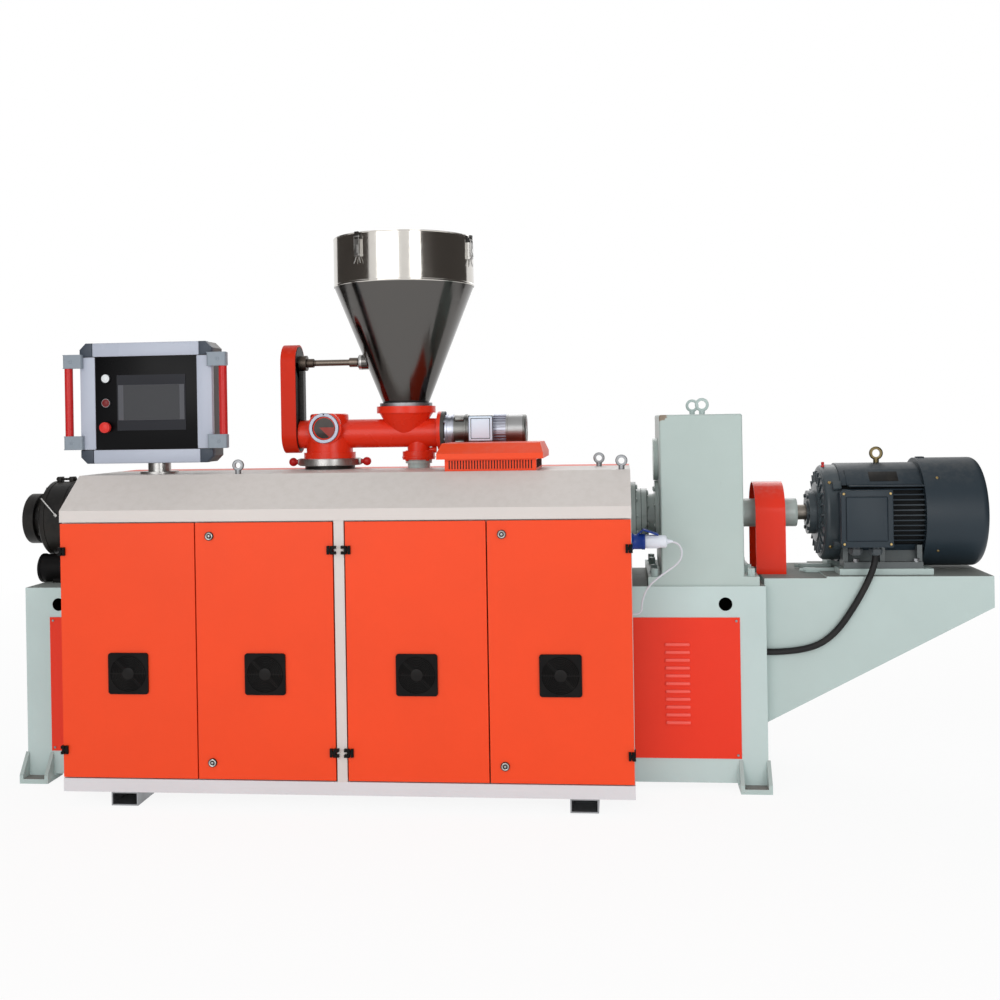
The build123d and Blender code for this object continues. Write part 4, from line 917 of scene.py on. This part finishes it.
class EXTRUDER_OT_control_panel(bpy.types.Operator):
    """Bars, corners, face, screen, buttons and handle clamps of the control panel"""
    bl_idname = "extruder.control_panel"
    bl_label = "Control Panel"

    def execute(self, context):
        wide, high, corner = (size(key) for key in ("bar_wide", "bar_high", "corner"))
        x0, x1, y0, z0, z1 = -27, 495, 252, 1235.5, 1697
        with piece("panel_bars", "panel_aluminium", "panel_frame", "panel") as bm:
            for xa, xb in ((x0 - 1, x0 + wide), (x1 - wide, x1 + 1)):
                add_box(bm, (xa, y0 - 3, z0 + high), (xb, y0 + 22, z1 - high), 5)
            for za, zb in ((z0 - 1, z0 + high), (z1 - high, z1 + 1)):
                add_box(bm, (x0 + corner - 1, y0 - 3, za), (x1 - corner + 1, y0 + 22, zb), 5)
        with piece("panel_corners", "corner_grey", "black_plastic", "panel") as bm:
            for xa, sx in ((x0 - 1, -1), (x1 + 1 - corner, 1)):
                for za, sz in ((z0 - 1, -1), (z1 + 1 - high, 1)):
                    made = add_box(bm, (xa, y0 - 4, za), (xa + corner, y0 + 30, za + high))
                    middle = at(xa + corner / 2, y0 + 13, za + high / 2)
                    round_off(bm, [e for e in edges_of(made) if all(
                        (v.co - middle).x * sx > 0 and (v.co - middle).z * sz > 0 for v in e.verts)], 24.5, 1)
            face = at(0, y0 - 3.9, 0).y
            round_off(bm, [e for e in bm.edges if all(v.co.y < face for v in e.verts)], 3)
        with piece("panel_face", "face_black", "black_plastic", "panel") as bm:
            add_box(bm, (x0 + wide - 1, y0 + 1, z0 + high - 1), (x1 - wide + 1, y0 + 6.4, z1 - high + 1), 0.6)
        with piece("screen_frame", "screen_frame", "screen", "panel") as bm:
            add_box(bm, (124, 249.2, 1400), (386, 250.2, 1535), 0.3, 1)
        with piece("screen_glass", "screen_dark", "screen", "panel") as bm:
            add_box(bm, (145, 248.8, 1401), (367, 249.6, 1534), 0.2, 1)

        start_z, lamp_z, stop_z, button_x = 1561, 1467, 1373, 76
        for name, z, finish in (("start_button", start_z, "button_white"),
                                ("lamp_button", lamp_z, "button_dark_red")):
            with piece(name, finish, "button_red", "panel") as bm:
                add_lathe(bm, (button_x, 244.5, z), FRONT, [
                    (0, 3.4), (6, 3), (11, 1.6), (13.6, -1), (13.6, -3)], 32)
        with piece("button_collars", "zinc", "bright_steel", "panel") as bm:
            for z in (start_z, lamp_z):
                add_lathe(bm, (button_x, 258, z), FRONT, [
                    (15.2, 14.5), (16.2, 14.5), (17.2, 12.5), (17.2, 4), (19.5, 3), (19.5, -1)], 32)
            add_lathe(bm, (button_x, 258, stop_z), FRONT, [(20.5, -1), (20.5, 3), (16, 5), (12, 5)], 32)
        with piece("stop_button", "stop_red", "button_red", "panel") as bm:
            add_lathe(bm, (button_x, 228.4, stop_z), FRONT, [
                (0, 4.6), (9, 3.8), (15, 2.2), (19.2, -0.8), (20.6, -4), (20.6, -14), (19, -16.5)], 40)

        with piece("handle_clamp_rims", "clamp_grey", "handle_red", "panel") as bm:
            for side, wall in ((-1, x0), (1, x1)):
                xa, xb = sorted((wall - side * 14.4, wall + side * 61.4))
                for z in (1315, 1628):
                    add_lathe(bm, (wall + side * 30, 230, z), FRONT, [
                        (0, 0.4), (3.5, 0.4), (4, 1.4), (6, 1.2), (7, 0), (7, -2)], 20)
                    for dz in (-25, 25):
                        add_box(bm, (xa, 231, z + dz - 1.5), (xb, 251.6, z + dz + 1.5), 1.2)
        with piece("panel_back_vents", "black_plastic", "black_plastic", "panel") as bm:
            add_screws(bm, (90, 234, 378), 372, (1300, 1632), BACK, 10)
            for z in range(1400, 1540, 14):
                add_box(bm, (154, 371, z), (314, 373.4, z + 5), 1)
        return {"FINISHED"}


class EXTRUDER_OT_feeder(bpy.types.Operator):
    """Rings, bolts, knobs and geared motor of the feeder"""
    bl_idname = "extruder.feeder"
    bl_label = "Feeder Details"

    def execute(self, context):
        bolt = size("small_bolt")
        with piece("glass_ring", "ring_steel", "bright_steel") as bm:
            add_lathe(bm, (FEED_X, 486, GLASS_Z), FRONT, [
                (45.8, -5), (46.2, 4), (47.5, 5.5), (58.5, 5.5), (60.5, 3.5), (60.5, -4)])
        with piece("glass_boss", "casting_red", "casting_paint") as bm:
            add_disc(bm, (FEED_X, 502, GLASS_Z), FRONT, 69, 13, 64, 3)
            cut(bm, (FEED_X, 489, 1414), UP)
        with piece("glass_pane", "sight_glass", "glass") as bm:
            add_lathe(bm, (FEED_X, 490, GLASS_Z), FRONT, [(0, 1.2), (40, 1.2), (45.8, 0.4), (45.8, -2)])
        # A lighter red patch in front of the pane is a painted reflection in the glass.
        with piece("glass_reflection_patch", "reflection_red", "glass") as bm:
            add_disc(bm, (FEED_X, 489, GLASS_Z), FRONT, 44.5, 1, 48)
            cut(bm, (FEED_X, 489, 1359.4), UP)
            cut(bm, (857, 489, 1351), (-0.68, 0, -0.73))
        with piece("glass_mark", "black_plastic", "black_plastic") as bm:
            add_disc(bm, (FEED_X, 480.8, 1410.5), FRONT, 3.2, 0.8, 16)

        ring = mid(FEED_X, 1220.5)
        ball = [(17.4 * math.sin(a), 26 - 17.4 * math.cos(a)) for a in map(math.radians, range(36, 181, 12))]
        with piece("ball_knobs", "handle_red", "handle_red") as bm:
            for side in (LEFT, RIGHT):
                add_lathe(bm, ring + side * 126, side, [(6.5, 0), (9, 2), (9, 9), *ball], 32)
        with piece("ring_lugs", "bright_steel", "bright_steel") as bm:
            for side in (LEFT, RIGHT):
                add_block(bm, ring + side * 120, (20, 32, 25), 3)
                add_disc(bm, ring + side * 129, side, 8.5, 7, 6, 1)
        with piece("feeder_bolts", "casting_red", "casting_paint") as bm:
            add_bolts(bm, mid(LEG_X, 1225), DOWN, 4, 58, bolt * 1.2)
            add_bolts(bm, mid(LEG_X, 1258), UP, 4, 58, bolt)
            add_bolts(bm, mid(1316, GEAR_Z), LEFT, 6, 69, bolt)
            add_hoop(bm, mid(LEG_X, 1234), UP, 64.8, 67, 5, 3)
            add_lathe(bm, mid(1302, 1263), RIGHT, [(0, 4), (11.5, 4), (12.5, 2), (12.5, -14)], 24)

        with piece("chain_guard_back", "black_steel", "dark_steel") as bm:
            for z in (FEED_Z, STIR_Z):
                add_disc(bm, mid(750, z), RIGHT, 68, 1.6, 48)
            add_box(bm, (750, AXIS_Y - 68, FEED_Z), (751.6, AXIS_Y + 68, STIR_Z))
        with piece("chain_guard_screws", "guard_red", "casting_paint") as bm:
            for z in (FEED_Z, STIR_Z):
                add_lathe(bm, mid(690, z), LEFT, [(0, 2), (20, 2), (22, 1), (22, -1)], 32)
                for y in (AXIS_Y - 52, AXIS_Y + 52):
                    add_screw(bm, (690, y, z), LEFT, 10)

        with piece("geared_motor_ribs", "geared_mix", "geared_motor") as bm:
            add_spokes(bm, mid(1564, GEAR_Z), size("fins"), 58.5, (52, 3.2, 8), 0.8)
            for x in (1352, 1374, 1428):
                add_hoop(bm, mid(x, GEAR_Z), RIGHT, 61.5, 65.5, 5, 4)
            add_bolts(bm, mid(1344, GEAR_Z), RIGHT, 6, 70, 12)
            for point in around(mid(1406, GEAR_Z), RIGHT, 4, 66, 0.5):
                add_block(bm, point, (36, 14, 14), 2)
        with piece("geared_motor_lid", "box_white", "geared_motor") as bm:
            add_box(bm, (1450, 473, 1298), (1542, 479, 1394), 4, 3)
            add_box(bm, (1460, 470.5, 1308), (1532, 474, 1384), 3, 3)
            add_screws(bm, (1456, 1536), 473, (1304, 1388), FRONT, 7)
        # Painted shade: dark lines round the lid and its raised panel stand for the shade in the gaps there.
        with piece("geared_motor_lid_shade_lines", "flange_dark", "geared_motor") as bm:
            add_box(bm, (1457.5, 472.4, 1305.5), (1534.5, 474, 1386.5))
            add_box(bm, (1447.5, 477, 1295.5), (1544.5, 479.5, 1396.5))
        with piece("geared_motor_gland", "black_plastic", "black_plastic") as bm:
            add_disc(bm, (1496, 500, 1300), DOWN, 12.5, 10, 6, 1)
            add_lathe(bm, (1496, 500, 1290), DOWN, [(10.5, -1), (10.5, 8), (7, 11), (0, 11)], 20)
        with piece("geared_motor_cowl_slots", "cowl_grey", "geared_motor") as bm:
            add_spokes(bm, mid(1669.6, GEAR_Z), 24, 34, (2.4, 3, 30), 0.5)
            add_hoop(bm, mid(1595.5, GEAR_Z), RIGHT, 60.8, 62.2, 3.5, 2.5)
        return {"FINISHED"}


def on_hopper(degrees, away, along, z):
    """A point at an angle round the hopper, so far from its axis and so far along its wall."""
    out = spoke(degrees, upright=True)
    return mid(HOPPER_X, z) + out * away + UP.cross(out) * along


class EXTRUDER_OT_hopper(bpy.types.Operator):
    """Rim, seams and latch levers of the hopper"""
    bl_idname = "extruder.hopper"
    bl_label = "Hopper Details"

    def execute(self, context):
        with piece("hopper_rim", "stainless", "stainless") as bm:
            add_ring(bm, mid(HOPPER_X, 2104), UP, 278.5, 2.8, 96, 8)
            add_hoop(bm, mid(HOPPER_X, 1920), UP, 279.5, 281.2, 5, 2, 96)
            seam = 65
            side = UP.cross(spoke(seam, upright=True))
            for low, inner, high, outer in ((1922, 280.2, 2100, 280.2), (1456, 93.8, 1915, 278.6)):
                add_bar(bm, on_hopper(seam, inner, 0, low), on_hopper(seam, outer, 0, high), side, 5, 1.2, 0.4)
        with piece("latch_levers", "bright_steel", "bright_steel") as bm:
            for a in (-118, -14, 62, 166):
                out = spoke(a, upright=True)
                side = UP.cross(out)
                for s in (-1, 1):
                    add_bar(bm, on_hopper(a, 292.5, s * 10.5, 2020), on_hopper(a, 292.5, s * 10.5, 2085), side,
                            3.2, 3.2, 0.8)
                    add_bar(bm, on_hopper(a, 285, s * 7, 2014), on_hopper(a, 289, s * 15.4, 1986), side, 4, 4, 1.2)
                    for z in (2016.5, 2092.5):
                        add_disc(bm, on_hopper(a, 289, s * 9.5, z), out, 2.6, 1.4, 12, 0.4)
                add_bar(bm, on_hopper(a, 296, 0, 2022), on_hopper(a, 292, 0, 2060), side, 17, 3, 1)
                for z in (2018, 2088):
                    add_bar(bm, on_hopper(a, 291.5, -14, z), on_hopper(a, 291.5, 14, z), out, 6, 6, 2)
        with piece("stirrer_gland", "bright_steel", "bright_steel") as bm:
            add_lathe(bm, mid(997, STIR_Z), LEFT, [(14, 1), (28.5, 1), (30.5, -2), (30.5, -12)], 32)
            for point in around(mid(996, STIR_Z), LEFT, 3, 22):
                add_screw(bm, point, LEFT, 8)
        return {"FINISHED"}


def add_cord(name, points, radius, finish, node):
    """A cord on one smooth curve through the route's points."""
    data = bpy.data.curves.new(name, "CURVE")
    data.dimensions = "3D"
    data.bevel_depth = radius * MM
    data.bevel_resolution = 5
    data.resolution_u = 16
    data.use_fill_caps = True
    spline = data.splines.new("NURBS")
    spline.points.add(len(points) - 1)
    for point, place in zip(spline.points, points):
        point.co = (*at(*place), 1)
    spline.order_u = 3
    spline.use_endpoint_u = True
    made = bpy.data.objects.new(name, data)
    bpy.context.scene.collection.objects.link(made)
    data.materials.append(FINISHES[finish])
    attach(made, "machine")
    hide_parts(node)


MOTOR_CORD = (
    (2964, 325, 869), (2964, 325, 824), (2898, 325, 690), (2800, 325, 550), (2680, 325, 504), (2563, 325, 504),
)
PLUG_CORD = tuple((x, PLUG_Y, z) for x, z in (
    (2200, PLUG_Z), (2236, PLUG_Z), (2256, 897), (2244, 856), (2177, 812), (2126, 768), (2106, 712), (2106, 672),
    (2073, 672)))


class EXTRUDER_OT_cords(bpy.types.Operator):
    """Motor cable, plug with its lid, and the plug's cord"""
    bl_idname = "extruder.cords"
    bl_label = "Cords and Plug"

    def execute(self, context):
        with piece("plug_grip", "plug_white", "plug_blue") as bm:
            add_lathe(bm, (2121, PLUG_Y, PLUG_Z), RIGHT, [
                (22.5, 0), (23.6, 2), (23.6, 50), (22.2, 54), (21.5, 62), (18.5, 72), (12, 78), (8.2, 84),
                (5.2, 94), (3.6, 100)], 40)
            add_spokes(bm, (2147, PLUG_Y, PLUG_Z), 12, 23.4, (40, 4, 2.4), 0.8)
        with piece("socket_lid", "socket_blue", "plug_blue") as bm:
            add_lathe(bm, (2073, PLUG_Y, PLUG_Z), RIGHT, [
                (33, 0), (33, 4), (28.5, 6), (27.2, 8), (27.2, 36), (28.8, 38), (28.8, 48), (22.5, 50)], 40)
            add_bar(bm, (2098, PLUG_Y, 961), (2117, PLUG_Y, 977), BACK, 30, 5, 1.5)
            add_bar(bm, (2115, PLUG_Y, 977), (2170, PLUG_Y, 958), BACK, 50, 6, 2)
            add_disc(bm, (2097, 163, 960), FRONT, 4, 26, 16)
        add_cord("motor_cable_run", MOTOR_CORD, 12, "cable_black", "motor_cable")
        add_cord("plug_cord_run", PLUG_CORD, 3.5, "cord_grey", "plug_cord")
        return {"FINISHED"}


CAMERA_PLACE = (2034.6, -4188.8, 1380.7)  # in the drawing
CAMERA_TURN = (-5.79, -0.13, 0.93)  # yaw, pitch and roll in degrees
CAMERA_SHIFT = (0.003, -0.078)
LAMP_AIM = Vector((0, 0, 0.9))
LAMPS = (  # name, place in metres, strength and width
    ("key_light", (-1.9, -5.6, 2.6), 140, 3.6), ("fill_light", (3.4, -5.4, 1.7), 125, 3.2),
    ("back_light", (0.5, 4.5, 4.5), 110, 4.0),
)
FLAGS = (("flag_left", -4.85, -0.25, 7.5), ("flag_right", 3.45, -0.7, 8.4))  # name, x, y and depth in metres


class EXTRUDER_OT_stage(bpy.types.Operator):
    """Floor, soft light and the camera at the photograph's angle"""
    bl_idname = "extruder.stage"
    bl_label = "Stage"

    def execute(self, context):
        settings = context.scene.extruder_stage
        scene = context.scene
        scene.view_settings.view_transform = "Standard"

        def seen_rays(tree):
            """1 for camera, glossy and transmission rays."""
            path = tree.nodes.new("ShaderNodeLightPath")
            seen = add_math(tree, "ADD", path.outputs["Is Camera Ray"], path.outputs["Is Glossy Ray"])
            return add_math(tree, "ADD", seen, path.outputs["Is Transmission Ray"], clamp=True)

        bm = bmesh.new()
        bmesh.ops.create_circle(bm, cap_ends=True, segments=96, radius=60)
        floor = add_object("studio_floor", bm)
        material = bpy.data.materials.new("studio_floor")
        material.use_nodes = True
        tree = material.node_tree
        shader = tree.nodes["Principled BSDF"]
        shader.inputs["Base Color"].default_value = (*settings.floor, 1)
        shader.inputs["Roughness"].default_value = 0.9
        glow = tree.nodes.new("ShaderNodeEmission")
        mix = tree.nodes.new("ShaderNodeMixShader")
        away = add_vector(tree, "LENGTH", object_coords(tree), (0, 0, 0), "Value")
        white = add_range(tree, away, 2.4, 7.0, 0.9, 1.0)
        tree.links.new(add_math(tree, "MULTIPLY", seen_rays(tree), white), mix.inputs[0])
        tree.links.new(shader.outputs[0], mix.inputs[1])
        tree.links.new(glow.outputs[0], mix.inputs[2])
        tree.links.new(mix.outputs[0], tree.nodes["Material Output"].inputs["Surface"])
        floor.data.materials.append(material)

        world = bpy.data.worlds.new("studio")
        scene.world = world
        world.use_nodes = True
        tree = world.node_tree
        sky = tree.nodes["Background"]
        sky.inputs["Color"].default_value = (1, 1, 1, 1)
        tree.links.new(add_range(tree, seen_rays(tree), 0.0, 1.0, settings.sky, 1.0), sky.inputs["Strength"])

        for name, spot, energy, wide in LAMPS:
            data = bpy.data.lights.new(name, "AREA")
            data.energy = energy * settings.lamps
            data.size = wide
            lamp = bpy.data.objects.new(name, data)
            lamp.location = spot
            lamp.rotation_euler = (LAMP_AIM - Vector(spot)).to_track_quat("-Z", "Y").to_euler()
            scene.collection.objects.link(lamp)

        dark = bpy.data.materials.new("studio_flag")
        dark.use_nodes = True
        shader = dark.node_tree.nodes["Principled BSDF"]
        shader.inputs["Base Color"].default_value = (0.06, 0.053, 0.048, 1)
        shader.inputs["Roughness"].default_value = 1.0
        for name, x, y, deep in FLAGS:
            bm = bmesh.new()
            bmesh.ops.create_cube(
                bm, size=1, matrix=Matrix.Translation((x, y, 2.8)) @ Matrix.Diagonal((0.1, deep, 4.4, 1)))
            flag = add_object(name, bm)
            flag.data.materials.append(dark)
            for ray in ("camera", "diffuse", "transmission", "volume_scatter", "shadow"):
                setattr(flag, "visible_" + ray, False)

        yaw, pitch, roll = (math.radians(a) for a in CAMERA_TURN)
        forward = Vector((math.sin(yaw) * math.cos(pitch), math.cos(yaw) * math.cos(pitch), math.sin(pitch)))
        right = Vector((math.cos(yaw), -math.sin(yaw), 0))
        down = forward.cross(right)
        across = right * math.cos(roll) + down * math.sin(roll)
        below = down * math.cos(roll) - right * math.sin(roll)
        data = bpy.data.cameras.new("camera")
        data.lens = settings.lens
        data.sensor_width = 36
        data.shift_x, data.shift_y = CAMERA_SHIFT
        camera = bpy.data.objects.new("camera", data)
        turn = Matrix((across, -below, -forward)).transposed().to_4x4()
        camera.matrix_world = Matrix.Translation(at(*CAMERA_PLACE)) @ turn
        scene.collection.objects.link(camera)
        scene.camera = camera
        return {"FINISHED"}


class EXTRUDER_PT_parts(bpy.types.Panel):
    """Lists the extruder's settings and operators"""
    bl_idname = "EXTRUDER_PT_parts"
    bl_label = "Plastic Extruder"
    bl_space_type = "VIEW_3D"
    bl_region_type = "UI"
    bl_category = "Extruder"

    def draw(self, context):
        layout = self.layout
        for group in (context.scene.extruder_paints, context.scene.extruder_sizes, context.scene.extruder_stage):
            column = layout.column(align=True)
            for key in group.__annotations__:
                column.prop(group, key)
        for operator in OPERATORS:
            layout.operator(operator.bl_idname)


OPERATORS = (
    EXTRUDER_OT_finishes, EXTRUDER_OT_doors, EXTRUDER_OT_frame_fasteners, EXTRUDER_OT_gearbox, EXTRUDER_OT_vent,
    EXTRUDER_OT_motor, EXTRUDER_OT_control_panel, EXTRUDER_OT_feeder, EXTRUDER_OT_hopper, EXTRUDER_OT_cords,
    EXTRUDER_OT_stage,
)
CLASSES = (ExtruderPaints, ExtruderSizes, StageSettings, *OPERATORS, EXTRUDER_PT_parts)


def register():
    for cls in CLASSES:
        bpy.utils.register_class(cls)
    bpy.types.Scene.extruder_paints = bpy.props.PointerProperty(type=ExtruderPaints)
    bpy.types.Scene.extruder_sizes = bpy.props.PointerProperty(type=ExtruderSizes)
    bpy.types.Scene.extruder_stage = bpy.props.PointerProperty(type=StageSettings)


def unregister():
    del bpy.types.Scene.extruder_stage
    del bpy.types.Scene.extruder_sizes
    del bpy.types.Scene.extruder_paints
    for cls in reversed(CLASSES):
        bpy.utils.unregister_class(cls)


def main():
    register()
    for operator in OPERATORS:
        group, name = operator.bl_idname.split(".")
        getattr(getattr(bpy.ops, group), name)()


if __name__ == "__main__":
    main()
